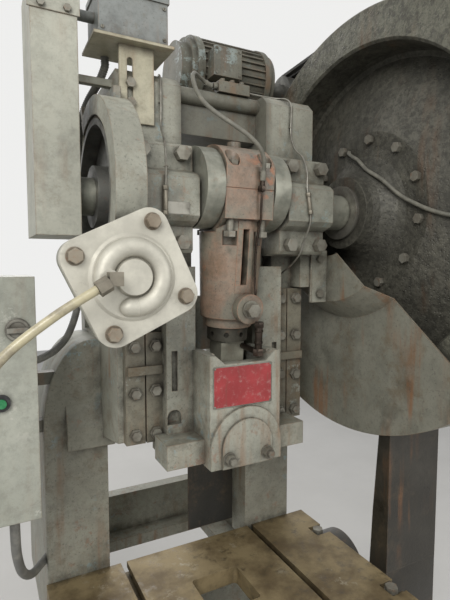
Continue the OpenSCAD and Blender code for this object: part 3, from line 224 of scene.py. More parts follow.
# Left upright in millimetres: its round shoulder, its inside and the corners of its rear edge
SHOULDER_LEFT = -515
SHOULDER_W = 160
SHOULDER_FOOT = 1240
SHOULDER_TOP = 1531
SHOULDER_DEPTH = 110
SHOULDER_ROUND = 6
BAND_FOOT = 1180
BAND_RIGHT = -300
BAND_DEPTH = (100, 260)
BAND_ROUND = 4
BAND_INSET = 0.5
UPRIGHT_FACE = 289.6
UPRIGHT_HEAD = (-289, 1270)
UPRIGHT_WAIST = (-309, 1240)
UPRIGHT_REAR = [(790, 1239), (880, 1184), (959, 720)]
FLANK_W = 60
FLANK_FRONT = 20
FLANK_ROUND = 5

# Rim of the slide's box in millimetres
BOX_HALF = 118.3
BOX_FOOT = 1440
BOX_TOP = 1525
BOX_DEPTH = 38
BOX_BACK = 20
BOX_ROUND = 3
EAR_HALF = 100
DIP_HALF = 68
DIP_DEPTH = 28
CHEEK_X = 87
CHEEK_FOOT = 1450
CHEEK_FRONT = 30

# Lips of the rod's slot in millimetres of the rod's frame: left, right, foot and top above the rod's foot,
# and the barrel's height and radius at both ends of its taper
ROD_FOOT = -406
LIPS = ((-26, -10, 108, 318), (10, 26, 108, 318), (-26, 26, 108, 133), (-26, 26, 294, 318))
LIP_WALL = 30
LIP_PROUD = 0.4
BARREL_LOW = (-376, 86)
BARREL_HIGH = (-122, 96)

# Skirt of the guard's stand in millimetres
SKIRT_LEFT = 552
SKIRT_TOP = 500
SKIRT_FOOT = 6
SKIRT_W = 37
SKIRT_PLATE = 5
SKIRT_ROUND = 1.2

# Welds in millimetres, with their ripples as shares of the radius and in radians per metre
ARM_Y = (59, 81)
ARM_Z = (2279, 2301)
WELD_RADIUS = 3.2
ARM_WELD_RADIUS = 2.6
RIPPLE = 0.16
RIPPLE_WAVE = 1200
SWAY = 0.08
SWAY_WAVE = 370

# Forms of the small fittings: chamfers and slots as shares of a radius, and a thread's profile
CHAMFER = 0.93
SLOT_SHARE = 0.16
THREAD_SHAPE = ((0.0, 0.0), (0.3, 1.0), (0.5, 1.0), (0.8, 0.0))

# Backdrop and floor
SKY = (0.82, 0.83, 0.84, 1.0)
SKY_POWER = 0.47
BACKDROP = (0.86, 0.86, 0.85, 1.0)
FLOOR = (0.62, 0.61, 0.59)
FLOOR_PALE = (0.66, 0.65, 0.63)
FLOOR_SIZE = 9.0

# Lamps: place, aim, size and power, in metres and watts
LAMPS = {
    "key": ((-2.4, -3.0, 3.6), (0.0, 0.0, 1.6), 2.0, 120.0),
    "fill": ((2.6, -3.2, 2.6), (0.2, 0.0, 1.5), 2.4, 40.0),
    "back": ((0.5, 3.6, 3.8), (0.0, 0.3, 1.5), 2.6, 70.0),
}
LAMP_COLOUR = (1.0, 0.985, 0.955)

# Camera: place in metres, turns in degrees, lens in millimetres
CAMERA_SPOT = (-0.675, -1.292, 1.780)
CAMERA_RIGHT = 27.5
CAMERA_DOWN = 4.3
CAMERA_LENS = 28.0
CAMERA_SENSOR = 36.0

# Colours of the stains in the worn paint, and of the painted shade with soot on the crown
OIL_BROWN = (0.15, 0.11, 0.065)
SOOT_AND_SHADE = (0.055, 0.052, 0.036)


def tint(name, text, colour):
    return FloatVectorProperty(name=name, description=text, subtype="COLOR", size=3, min=0, max=1,
                               default=colour)


class PressPaints(PropertyGroup):
    """Colours of the press"""

    machine: tint("Machine paint", "Grey-green paint of the castings", (0.31, 0.305, 0.25))
    machine_pale: tint("Pale paint", "Chalky, faded patches of the paint", (0.41, 0.41, 0.345))
    # The grime colour is painted shade with dirt: it darkens the corners that ambient occlusion finds hidden
    grime_and_shade: tint("Grime", "Oily dirt and painted shade in corners", (0.045, 0.04, 0.03))
    rust: tint("Rust", "Orange-brown rust", (0.20, 0.085, 0.03))
    primer: tint("Primer", "Reddish primer of the connecting rod", (0.35, 0.235, 0.172))
    # The wheel iron's dark colour is partly painted shade: the flywheel stands far from the light
    wheel: tint("Wheel iron", "Rough dark iron of the flywheel", (0.075, 0.072, 0.058))
    cabinet: tint("Cabinet enamel", "Pale enamel of the cabinet", (0.37, 0.38, 0.325))
    warning: tint("Warning plate", "Red of the bare warning plate", (0.30, 0.035, 0.038))
    cover: tint("Actuator cover", "Bare cast aluminium", (0.62, 0.60, 0.52))


class PressSizes(PropertyGroup):
    """Sizes of the small pieces"""

    hose_sides: IntProperty(name="Hose sides", description="Faces round a hose", default=16, min=8, max=48)
    plate_thickness: FloatProperty(name="Plate thickness", description="Thickness of the bare plates",
                                   default=0.0012, min=0.0005, max=0.004, unit="LENGTH")
    thread_depth: FloatProperty(name="Thread depth", description="Depth of the visible threads",
                                default=0.0012, min=0.0004, max=0.003, unit="LENGTH")


# Shader groups

class Graph:
    """Nodes of one tree, joined by passing sockets as inputs"""

    def __init__(self, tree):
        self.tree = tree

    def feed(self, node, inputs):
        """Links the sockets and sets the plain values among a node's inputs"""
        for key, value in inputs.items():
            if isinstance(value, NodeSocket):
                self.tree.links.new(value, node.inputs[key])
            else:
                node.inputs[key].default_value = value

    def add(self, kind, inputs=None, **values):
        node = self.tree.nodes.new(kind)
        for key, value in values.items():
            setattr(node, key, value)
        self.feed(node, inputs or {})
        return node

    def out(self, kind, inputs=None, socket=0, **values):
        return self.add(kind, inputs, **values).outputs[socket]

    def mix(self, factor, a, b):
        return self.out("ShaderNodeMix", {0: factor, 6: a, 7: b}, 2, data_type="RGBA")

    def math(self, operation, a, b=0.0):
        return self.out("ShaderNodeMath", {0: a, 1: b}, operation=operation)

    def times(self, a, b):
        return self.out("ShaderNodeMath", {0: a, 1: b}, operation="MULTIPLY", use_clamp=True)

    def ramp(self, value, low, high, kind="SMOOTHSTEP"):
        """From 0 to 1 as a value goes from a low to a high mark"""
        marks = {"Value": value, "From Min": low, "From Max": high}
        return self.out("ShaderNodeMapRange", marks, interpolation_type=kind)

    def between(self, mask, start, end):
        """From one value to another as a mask goes from 0 to 1"""
        return self.out("ShaderNodeMapRange", {"Value": mask, "To Min": start, "To Max": end})

    def place(self):
        return self.out("ShaderNodeTexCoord", socket="Object")

    def noise(self, scale, detail, roughness=0.5, place=None):
        inputs = {"Scale": scale, "Detail": detail, "Roughness": roughness}
        inputs["Vector"] = self.place() if place is None else place
        return self.out("ShaderNodeTexNoise", inputs)

    def effect(self, name, **inputs):
        """Output of a shader group, whose inputs are named here in small letters"""
        named = {key.replace("_", " ").capitalize(): value for key, value in inputs.items()}
        return self.out("ShaderNodeGroup", named, node_tree=bpy.data.node_groups[name])


def build_blotches(graph, put):
    """Cloudy patches"""
    return graph.ramp(graph.noise(put["Scale"], 6.0, put["Roughness"]), put["Low"], put["High"])


def build_runs(graph, put):
    """Stains that ran down, in some areas only"""
    drawn = graph.out("ShaderNodeMapping", {"Vector": graph.place(), "Scale": (1.0, 1.0, 0.1)})
    streaks = graph.ramp(graph.noise(put["Scale"], 5.0, 0.6, drawn), put["Low"], put["High"])
    return graph.times(streaks, graph.ramp(graph.noise(4.0, 3.0), 0.42, 0.62))


def build_edges(graph, put):
    """Edges rubbed bare in places"""
    softened = graph.out("ShaderNodeBevel", {"Radius": put["Width"]}, samples=4)
    flat = graph.out("ShaderNodeNewGeometry", socket="Normal")
    level = graph.out("ShaderNodeVectorMath", {0: softened, 1: flat}, "Value", operation="DOT_PRODUCT")
    patches = graph.ramp(graph.noise(put["Scale"], 4.0, 0.65), put["Low"], put["High"])
    return graph.times(graph.ramp(level, 0.995, 0.86, "LINEAR"), patches)


def build_corners(graph, put):
    """Painted shade with dirt in corners, where an ambient occlusion node finds the surface hidden"""
    seen = graph.out("ShaderNodeAmbientOcclusion", {"Distance": put["Distance"]}, "AO", samples=4)
    hidden = graph.ramp(seen, 0.95, 0.45, "LINEAR")
    return graph.times(hidden, graph.ramp(graph.noise(14.0, 4.0, 0.6), 0.25, 0.62))


def build_skin(graph, put):
    """Height of a rough surface with pits"""
    coarse = graph.noise(put["Scale"], 8.0, 0.62)
    grid = {"Vector": graph.place(), "Scale": put["Pit scale"]}
    spots = graph.out("ShaderNodeTexVoronoi", grid, "Distance")
    sunk = graph.math("SUBTRACT", 1.0, graph.ramp(spots, 0.0, 0.35))
    return graph.math("SUBTRACT", coarse, graph.times(sunk, put["Pits"]))


def build_chips(graph, put):
    """Chips with hard borders, in some areas only"""
    chips = graph.ramp(graph.noise(put["Scale"], 9.0, 0.7), put["Low"], put["High"], "LINEAR")
    return graph.times(chips, graph.ramp(graph.noise(6.0, 2.0), 0.5, 0.66))


def build_rim(graph, put):
    """Ring of the flywheel between two distances from its axle"""
    away = graph.out("ShaderNodeVectorMath", {0: graph.place(), 1: (0.0, 0.0, -AXIS_Z * MM)}, operation="ADD")
    flat = graph.out("ShaderNodeVectorMath", {0: away, 1: (0.0, 1.0, 1.0)}, operation="MULTIPLY")
    reach = graph.out("ShaderNodeVectorMath", {0: flat}, "Value", operation="LENGTH")
    return graph.ramp(reach, put["Low"], put["High"])


def build_soot_and_shade(graph, put):
    """The middle of the crown, above a height, where shade is painted with soot"""
    parts = graph.add("ShaderNodeSeparateXYZ", {"Vector": graph.place()}).outputs
    inner = graph.math("SUBTRACT", put["Half"], 0.03)
    inside = graph.ramp(graph.math("ABSOLUTE", parts["X"]), put["Half"], inner)
    above = graph.ramp(parts["Z"], put["Low"], graph.math("ADD", put["Low"], 0.08))
    return graph.times(inside, above)


EFFECTS = {
    # The crown's painted shade with soot
    "Crown soot and shade": (build_soot_and_shade, {"Half": 0.19, "Low": 0.5}),
    "Wheel rim": (build_rim, {"Low": 0.5, "High": 0.52}),
    "Blotches": (build_blotches, {"Scale": 8.0, "Roughness": 0.6, "Low": 0.4, "High": 0.65}),
    "Run stains": (build_runs, {"Scale": 30.0, "Low": 0.5, "High": 0.7}),
    "Worn edges": (build_edges, {"Width": 0.004, "Scale": 40.0, "Low": 0.35, "High": 0.6}),
    # Darkens hidden corners: painted shade with dirt
    "Corner dirt and shade": (build_corners, {"Distance": 0.03}),
    "Cast skin": (build_skin, {"Scale": 120.0, "Pit scale": 260.0, "Pits": 0.3}),
    "Paint chips": (build_chips, {"Scale": 45.0, "Low": 0.56, "High": 0.60}),
}


def make_effects():
    """Shader groups with named inputs and one mask or height as output"""
    for name, (build, inputs) in EFFECTS.items():
        if name in bpy.data.node_groups:
            continue
        tree = bpy.data.node_groups.new(name, "ShaderNodeTree")
        for label, value in inputs.items():
            item = tree.interface.new_socket(label, in_out="INPUT", socket_type="NodeSocketFloat")
            item.default_value = value
        tree.interface.new_socket("Mask", in_out="OUTPUT", socket_type="NodeSocketFloat")
        start = tree.nodes.new("NodeGroupInput")
        end = tree.nodes.new("NodeGroupOutput")
        tree.links.new(build(Graph(tree), start.outputs), end.inputs[0])


# Finishes

FINISHES = {}
NODE_FINISHES = {"gib_plates": "gib_paint"}


def rgba(colour, gain=1.0):
    return tuple(min(1.0, max(0.0, c * gain)) for c in tuple(colour)[:3]) + (1.0,)


class Finish:
    """A material laid up in coats of colour, each behind a mask"""

    def __init__(self, name, colour):
        self.material = bpy.data.materials.new(name)
        self.material.use_nodes = True
        self.graph = Graph(self.material.node_tree)
        self.shader = self.material.node_tree.nodes["Principled BSDF"]
        self.colour = rgba(colour)
        FINISHES[name] = self.material

    def coat(self, effect, colour, share=None, gain=1.0, **inputs):
        """Lays a colour, lightened by a gain, over an effect's mask or a share of it, and gives the mask"""
        mask = self.graph.effect(effect, **inputs)
        factor = mask if share is None else self.graph.times(mask, share)
        self.colour = self.graph.mix(factor, self.colour, rgba(colour, gain))
        return mask

    def close(self, rough, skin, relief, depth=0.002, metallic=0.0, soft=0.0025):
        """Joins colour, roughness, metal and relief to the shader"""
        graph = self.graph
        scale, pit_scale, pits = skin
        normal = {"Strength": relief, "Distance": depth}
        normal["Height"] = graph.effect("Cast skin", scale=scale, pit_scale=pit_scale, pits=pits)
        normal["Normal"] = graph.out("ShaderNodeBevel", {"Radius": soft}, samples=4)
        graph.feed(self.shader, {"Base Color": self.colour, "Roughness": rough, "Metallic": metallic,
                                 "Normal": graph.out("ShaderNodeBump", normal)})


def worn_paint(name, paint, pale, patch=3.5, brown=0.45, primer=0.0, chip=None, chip_low=0.565, rust=0.6,
               rust_scale=30.0, edges=0.75, bare=(0.20, 0.13, 0.08), oily=0.5, soot_and_shade=0.0, specked=0.55,
               grime_and_shade=0.9, rough=0.55, relief=0.4, skin=90.0):
    """Old machine paint: faded patches, brown oil stains, speckled dirt, rust runs, chips, worn edges,
    painted shade with dirt in corners, and where asked painted shade with soot on the crown
    """
    colours = bpy.context.scene.press_paints
    finish = Finish(name, paint)
    finish.coat("Blotches", pale, scale=patch, roughness=0.65, low=0.38, high=0.64)
    finish.coat("Blotches", paint, 0.5, 0.58, scale=28.0, roughness=0.75, low=0.38, high=0.66)
    finish.coat("Blotches", OIL_BROWN, brown, scale=9.0, roughness=0.8, low=0.5, high=0.68)
    if primer:
        finish.coat("Blotches", colours.primer, primer, 0.85, scale=11.0, roughness=0.8, low=0.6, high=0.65)
    if chip:
        finish.coat("Paint chips", chip, scale=30.0, low=chip_low, high=chip_low + 0.02)
    finish.coat("Run stains", colours.rust, rust, 1.3, scale=rust_scale, low=0.48, high=0.72)
    finish.coat("Worn edges", bare, edges, width=0.005, scale=26.0, low=0.34, high=0.58)
    film = finish.coat("Blotches", paint, oily, 0.36, scale=6.0, roughness=0.75, low=0.52, high=0.7)
    # Painted shade with soot darkens the middle of the crown
    if soot_and_shade:
        finish.coat("Crown soot and shade", SOOT_AND_SHADE, soot_and_shade, half=CROWN_HALF, low=CROWN_LOW)
    finish.coat("Blotches", paint, specked, 0.35, scale=130.0, roughness=0.7, low=0.56, high=0.66)
    # Painted shade with dirt in the hidden corners
    finish.coat("Corner dirt and shade", colours.grime_and_shade, grime_and_shade, distance=0.05)
    finish.close(finish.graph.between(film, rough, rough - 0.22), (skin, 180.0, 0.25), relief)


def dull_steel(name, colour, dark, rust, rust_gain=1.0, rough=0.42, metallic=0.75, relief=0.2, skin=160.0):
    """Bare steel or iron under an old film of oil, with rust in patches"""
    colours = bpy.context.scene.press_paints
    finish = Finish(name, colour)
    graph = finish.graph
    wide = finish.coat("Blotches", dark, scale=16.0, low=0.35, high=0.66)
    patch = finish.coat("Blotches", colours.rust, rust, rust_gain,
                        scale=42.0, roughness=0.75, low=0.54, high=0.68)
    # Painted shade with dirt in the hidden corners
    finish.coat("Corner dirt and shade", colours.grime_and_shade, 0.85, 0.8, distance=0.012)
    metal = graph.between(graph.times(patch, rust), metallic, 0.05)
    finish.close(graph.between(wide, rough, rough + 0.2), (skin, 300.0, 0.3), relief, 0.001, metal, 0.0015)


def soft_skin(name, colour, worn, rough=0.6, scale=60.0, gloss=0.0):
    """Rubber or plastic with dirt wiped over it"""
    finish = Finish(name, colour)
    wiped = finish.coat("Blotches", worn, scale=scale, roughness=0.65, low=0.42, high=0.68)
    shine = finish.graph.between(wiped, rough, rough + 0.2)
    finish.close(shine, (220.0, 400.0, 0.1), 0.15, 0.0006, soft=0.0008)
    finish.shader.inputs["Coat Weight"].default_value = gloss


def warning_finish(colours):
    """Red enamel on a thin plate, rubbed and scratched down to pale metal"""
    finish = Finish("warning", colours.warning)
    finish.coat("Blotches", colours.warning, gain=1.35, scale=14.0, low=0.35, high=0.7)
    finish.coat("Blotches", (0.45, 0.30, 0.28), 0.5, scale=55.0, roughness=0.8, low=0.52, high=0.66)
    finish.coat("Paint chips", (0.52, 0.49, 0.44), scale=90.0, low=0.56, high=0.6)
    finish.coat("Run stains", (0.14, 0.09, 0.06), 0.5, scale=60.0, low=0.52, high=0.7)
    finish.close(0.4, (180.0, 300.0, 0.1), 0.1, 0.0005, soft=0.0005)


def bolster_finish():
    """Brown oily plate, mottled, with pale wiped patches"""
    finish = Finish("bolster_steel", (0.13, 0.092, 0.044))
    finish.coat("Blotches", (0.29, 0.225, 0.12), scale=5.0, roughness=0.65, low=0.36, high=0.62)
    spots = finish.coat("Blotches", (0.065, 0.048, 0.026), 0.75,
                        scale=24.0, roughness=0.75, low=0.5, high=0.7)
    finish.coat("Paint chips", (0.40, 0.36, 0.27), 0.7, scale=26.0, low=0.55, high=0.62)
    # Painted shade with dirt in the hidden corners
    finish.coat("Corner dirt and shade", (0.03, 0.024, 0.016), distance=0.03)
    finish.close(finish.graph.between(spots, 0.6, 0.32), (60.0, 140.0, 0.35), 0.3, metallic=0.25)


def wheel_finish(colours):
    """Rough dark cast iron with a painted rim, speckled, streaked with rust and worn at its edges; its
    darkness is partly painted shade, as the wheel stands far from the light
    """
    iron = colours.wheel
    finish = Finish("wheel_iron", iron)
    wide = finish.coat("Blotches", iron, gain=1.7, scale=6.0, roughness=0.7, low=0.35, high=0.68)
    finish.coat("Wheel rim", (0.17, 0.168, 0.128), 0.75, low=RIM_INSIDE, high=RIM_INSIDE + RIM_FADE)
    finish.coat("Blotches", iron, 0.7, 0.45, scale=45.0, roughness=0.8, low=0.42, high=0.6)
    finish.coat("Blotches", (0.20, 0.19, 0.15), 0.4, scale=70.0, roughness=0.8, low=0.55, high=0.65)
    finish.coat("Run stains", colours.rust, 0.35, 0.9, scale=18.0, low=0.5, high=0.72)
    finish.coat("Worn edges", iron, 0.5, 2.6, width=0.006, scale=30.0, low=0.3, high=0.6)
    # Painted shade with dirt in the hidden corners
    finish.coat("Corner dirt and shade", (0.02, 0.018, 0.014), 0.7, distance=0.05)
    finish.close(finish.graph.between(wide, 0.62, 0.45), (48.0, 90.0, 0.5), 0.75, 0.004, 0.2)


def aluminium_finish(colours):
    """Bare cast aluminium, grainy, with grey handling marks"""
    finish = Finish("cast_aluminium", colours.cover)
    wide = finish.coat("Blotches", colours.cover, gain=0.78, scale=9.0, roughness=0.65, low=0.38, high=0.66)
    finish.coat("Paint chips", (0.25, 0.24, 0.21), 0.5, scale=60.0, low=0.56, high=0.62)
    # Painted shade with dirt in the hidden corners
    finish.coat("Corner dirt and shade", (0.16, 0.145, 0.115), 0.6, distance=0.02)
    finish.close(finish.graph.between(wide, 0.5, 0.62), (260.0, 380.0, 0.25), 0.3, 0.001, 0.35)


def paint_finishes(colours):
    """Paints of the castings, the guards, the motor and the boxes"""
    # The frame's paint carries painted shade with soot on the crown
    worn_paint("frame_paint", colours.machine, colours.machine_pale, primer=0.75, chip=(0.30, 0.38, 0.38),
               soot_and_shade=0.55)
    worn_paint("cap_paint", (0.29, 0.29, 0.24), colours.machine_pale, primer=0.6, chip=(0.30, 0.36, 0.33),
               chip_low=0.55, rust=0.4, skin=70.0)
    worn_paint("gib_paint", (0.17, 0.155, 0.115), (0.25, 0.235, 0.18), brown=0.75, chip=(0.40, 0.44, 0.40),
               chip_low=0.55, rust=0.5, oily=0.8)
    # The stand's near-black colour is dark paint made darker still: painted shade on the legs and the skirt
    worn_paint("stand_paint", (0.028, 0.025, 0.019), (0.052, 0.047, 0.037), brown=0.2, rust=0.4,
               bare=(0.12, 0.08, 0.05), rough=0.45)
    worn_paint("rod_primer", (0.25, 0.235, 0.185), colours.primer, patch=9.0, chip=(0.43, 0.20, 0.11),
               chip_low=0.53, rust=0.3, edges=0.9, bare=(0.40, 0.19, 0.11), oily=0.7, rough=0.42)
    worn_paint("guard_paint", (0.215, 0.215, 0.175), (0.28, 0.275, 0.225), brown=0.6, rust=0.85,
               rust_scale=22.0, bare=(0.22, 0.12, 0.06), relief=0.12, skin=30.0)
    worn_paint("chain_paint", (0.40, 0.40, 0.335), (0.50, 0.50, 0.425), brown=0.3, rust=0.35, edges=0.9,
               oily=0.3, specked=0.15, grime_and_shade=0.6, relief=0.1, skin=30.0)
    worn_paint("cream_paint", (0.45, 0.42, 0.31), (0.53, 0.50, 0.38), brown=0.3, rust=0.5, oily=0.25,
               specked=0.2, grime_and_shade=0.6, relief=0.1, skin=30.0)
    worn_paint("motor_paint", (0.145, 0.145, 0.115), (0.215, 0.21, 0.17), chip=(0.34, 0.40, 0.38),
               chip_low=0.54, rust=0.4, skin=60.0)
    worn_paint("switch_paint", (0.25, 0.265, 0.255), (0.31, 0.325, 0.305), rust=0.3, relief=0.1, skin=30.0)
    worn_paint("cabinet_paint", colours.cabinet, (0.43, 0.44, 0.38), brown=0.15, chip=(0.50, 0.50, 0.44),
               chip_low=0.57, rust=0.12, edges=0.5, oily=0.25, specked=0.12, grime_and_shade=0.5, rough=0.45,
               relief=0.06, skin=24.0)
    worn_paint("panel_dark", (0.035, 0.034, 0.03), (0.055, 0.052, 0.045), rust=0.1, rough=0.6)


def steel_finishes():
    """Bare steels, iron and bronze"""
    dull_steel("bare_steel", (0.33, 0.32, 0.28), (0.18, 0.17, 0.145), 0.25)
    dull_steel("bolt_steel", (0.30, 0.29, 0.245), (0.17, 0.155, 0.125), 0.45, metallic=0.45)
    dull_steel("bearing_bronze", (0.40, 0.29, 0.15), (0.20, 0.15, 0.09), 0.1)
    dull_steel("crank_steel", (0.34, 0.34, 0.285), (0.20, 0.205, 0.17), 0.25, rough=0.35, metallic=0.4)
    dull_steel("screw_steel", (0.42, 0.41, 0.33), (0.25, 0.24, 0.19), 0.2, metallic=0.4)
    dull_steel("collar_steel", (0.085, 0.08, 0.062), (0.035, 0.032, 0.025), 0.2, metallic=0.45, relief=0.8,
               skin=220.0)
    dull_steel("oil_tube", (0.10, 0.075, 0.06), (0.045, 0.035, 0.028), 0.25, rough=0.18, metallic=0.85)
    dull_steel("brake_iron", (0.22, 0.22, 0.20), (0.12, 0.12, 0.11), 0.4)
    dull_steel("actuator_bolt", (0.31, 0.27, 0.21), (0.21, 0.17, 0.125), 0.4, 1.3, metallic=0.4)
    dull_steel("fitting", (0.30, 0.275, 0.22), (0.19, 0.17, 0.135), 0.2, metallic=0.55)


def soft_finishes():
    """Rubber, plastic and the brake's lining"""
    soft_skin("lining", (0.09, 0.075, 0.055), (0.16, 0.14, 0.11), 0.7)
    soft_skin("rubber_black", (0.022, 0.021, 0.019), (0.055, 0.052, 0.045))
    soft_skin("cream_hose", (0.52, 0.47, 0.31), (0.30, 0.265, 0.19), 0.35, 22.0, 0.3)
    soft_skin("hose_grey", (0.15, 0.145, 0.12), (0.23, 0.22, 0.18), 0.55, 30.0)
    soft_skin("conduit", (0.16, 0.16, 0.15), (0.25, 0.245, 0.22), 0.5, 25.0)
    soft_skin("button_green", (0.02, 0.20, 0.07), (0.05, 0.26, 0.11), 0.3, 80.0, 0.3)
    soft_skin("black_plastic", (0.02, 0.02, 0.022), (0.05, 0.05, 0.05), 0.45)


# Mesh helpers

def spline(route, steps):
    """Smooth points in metres along a route given in millimetres"""
    route = [Vector(p) * MM for p in route]
    path = []
    for i in range(len(route) - 1):
        a, b = route[max(i - 1, 0)], route[i]
        c, d = route[i + 1], route[min(i + 2, len(route) - 1)]
        for k in range(steps):
            t = k / steps
            path.append(0.5 * (2 * b + (c - a) * t + (2 * a - 5 * b + 4 * c - d) * t ** 2
                               + (3 * b - a - 3 * c + d) * t ** 3))
    path.append(route[-1])
    return path


def even(path, gap):
    """The same path with its points a given gap apart"""
    spots = [path[0]]
    left = gap
    for a, b in zip(path, path[1:]):
        length = (b - a).length
        done = 0.0
        while length - done >= left:
            done += left
            spots.append(a.lerp(b, done / length))
            left = gap
        left -= length - done
    spots.append(path[-1])
    return spots


def laid(route, gap, steps=8):
    """Smooth, even path in metres along a route in millimetres"""
    return even(spline(route, steps), gap)


def arc(x, z, radius, turns):
    """Spots of a circle at turns in degrees"""
    return [(x + radius * cos(radians(t)), z + radius * sin(radians(t))) for t in turns]


def rounded(x0, z0, x1, z1, radius):
    """Outline of a rectangle with round corners"""
    left, right, foot, top = x0 + radius, x1 - radius, z0 + radius, z1 - radius
    outline = []
    for start, x, z in ((0, right, top), (90, left, top), (180, left, foot), (270, right, foot)):
        outline += arc(x, z, radius, range(start, start + 91, 15))
    return outline


def corner(bm, place, x, y, z):
    """Corner of a mesh at a spot in millimetres of a place's own frame"""
    return bm.verts.new(place @ (Vector((x, y, z)) * MM))


def join_rings(bm, rings):
    """Faces from each ring of corners to the next, with both ends closed"""
    for low, high in zip(rings, rings[1:]):
        for k in range(len(low)):
            n = (k + 1) % len(low)
            bm.faces.new((low[k], low[n], high[n], high[k]))
    bm.faces.new(rings[0][::-1])
    bm.faces.new(rings[-1])


def sweep(bm, path, radius, sides=16):
    """Closed round tube along a path; radius is a length or a function of the distance from the start"""
    size = radius if callable(radius) else (lambda along: radius)
    ahead = [(path[min(i + 1, len(path) - 1)] - path[max(i - 1, 0)]).normalized() for i in range(len(path))]
    side = ahead[0].orthogonal().normalized()
    turns = [2 * pi * k / sides for k in range(sides)]
    along = 0.0
    rings = []
    for i, (spot, way) in enumerate(zip(path, ahead)):
        side = (side - side.dot(way) * way).normalized()
        other = way.cross(side)
        along += (spot - path[i - 1]).length if i else 0.0
        reach = size(along)
        rings.append([bm.verts.new(spot + reach * (cos(t) * side + sin(t) * other)) for t in turns])
    join_rings(bm, rings)


def turned(bm, profile, place, sides=24):
    """Closed turned solid: pairs of radius and height in millimetres about the place's own Z axis"""
    turns = [2 * pi * k / sides for k in range(sides)]
    join_rings(bm, [[corner(bm, place, reach * cos(t), reach * sin(t), height) for t in turns]
                    for reach, height in profile])


def barrel(bm, place, slim, stout, heights, sides):
    """Turned piece that is slimmer at both ends, over four heights in millimetres"""
    turned(bm, list(zip((slim, stout, stout, slim), heights)), place, sides)


def prism(bm, outline, low, high, axis=1, round_off=0.0):
    """Solid with a flat outline in millimetres between two stations along an axis"""
    def spot(pair, station):
        point = list(pair)
        point.insert(axis, station)
        return bm.verts.new(Vector(point) * MM)

    near = [spot(pair, low) for pair in outline]
    far = [spot(pair, high) for pair in outline]
    faces = [bm.faces.new(near), bm.faces.new(far[::-1])]
    for i in range(len(outline)):
        k = (i + 1) % len(outline)
        faces.append(bm.faces.new((near[i], near[k], far[k], far[i])))
    bmesh.ops.recalc_face_normals(bm, faces=faces)
    if round_off:
        edges = {edge for face in faces for edge in face.edges if edge.calc_face_angle(0.0) > SHARP}
        bmesh.ops.bevel(bm, geom=list(edges), offset=round_off * MM, segments=3, affect="EDGES", profile=0.5)


def block(bm, place, low, high, round_off):
    """Small block with its edges broken, between two corners in millimetres of a place's frame"""
    made = bmesh.ops.create_cube(bm, size=1.0)["verts"]
    for vert in made:
        spot = Vector([(a + b) / 2 + c * (b - a) for a, b, c in zip(low, high, vert.co)])
        vert.co = place @ (spot * MM)
    edges = list({edge for vert in made for edge in vert.link_edges})
    bmesh.ops.bevel(bm, geom=edges, offset=round_off * MM, segments=2, affect="EDGES", profile=0.5)


def facing(spot, toward=FRONT, turn=0.0):
    """Place of a small piece whose own Z axis points a given way, at a spot in millimetres"""
    lean = Vector(toward).to_track_quat("Z", "Y").to_matrix().to_4x4()
    return Matrix.Translation(Vector(spot) * MM) @ lean @ Matrix.Rotation(turn, 4, "Z")


def hex_head(bm, spot, across, height, toward=FRONT, turn=0.0):
    """Hexagon head or nut with a chamfered rim"""
    reach = across / 2 / cos(radians(30))
    turned(bm, [(reach, 0), (reach, height * 0.8), (reach * CHAMFER, height)], facing(spot, toward, turn), 6)


def dome(bm, spot, reach, height):
    """Low round head of a rivet"""
    steps = [radians(15 * k) for k in range(6)]
    turned(bm, [(reach * cos(t), height * sin(t)) for t in steps], facing(spot), 16)


def slotted_screw(bm, spot, reach, height, turn):
    """Cheese head with a sunk slot"""
    place = facing(spot, turn=turn)
    start = asin(SLOT_SHARE)
    turns = [start + (pi - 2 * start) * k / 10 for k in range(11)]
    for side in (-1, 1):
        join_rings(bm, [[corner(bm, place, reach * cos(t), side * reach * sin(t), z) for t in turns]
                        for z in (0, height)])
    turned(bm, [(reach * 0.98, 0), (reach * 0.98, height * 0.5)], place, 20)


def thread(bm, place, radius, low, high, pitch, depth, half_angle=180, sides=72):
    """Ridges of a thread round the place's Z axis, between two heights, to both sides of its front"""
    count = int(sides * half_angle / 180) + 1
    turns = [radians(half_angle) * (2 * k / (count - 1) - 1) for k in range(count)]
    rise = low
    while rise + pitch <= high:
        lines = []
        for share, proud in THREAD_SHAPE:
            reach = radius + depth * proud
            spots = [(reach * sin(t), -reach * cos(t), rise + pitch * (share + t / (2 * pi))) for t in turns]
            lines.append([corner(bm, place, *spot) for spot in spots])
        for a, b in zip(lines, lines[1:] + lines[:1]):
            for k in range(count - 1):
                bm.faces.new((a[k], a[k + 1], b[k + 1], b[k]))
        bm.faces.new([line[0] for line in lines])
        bm.faces.new([line[-1] for line in lines][::-1])
        rise += pitch


def bead(bm, route, radius):
    """Weld bead with its ripples, along a route in millimetres"""
    def size(along):
        return radius * (1 + RIPPLE * cos(along * RIPPLE_WAVE) + SWAY * sin(along * SWAY_WAVE)) * MM

    sweep(bm, even([Vector(p) * MM for p in route], WELD_GAP), size, 8)


def coupling(bm, start, end, reach):
    """Pipe coupling with a nut at each end, between two spots in millimetres"""
    way = Vector(end) - Vector(start)
    length = way.length
    place = facing(start, way)
    nut = reach * 1.25
    for heights in (COUPLING_NUT, [length - height for height in COUPLING_NUT[::-1]]):
        barrel(bm, place, nut * CHAMFER, nut, heights, 6)
    barrel(bm, place, reach * 0.8, reach, (11, 15, length - 15, length - 11), 20)


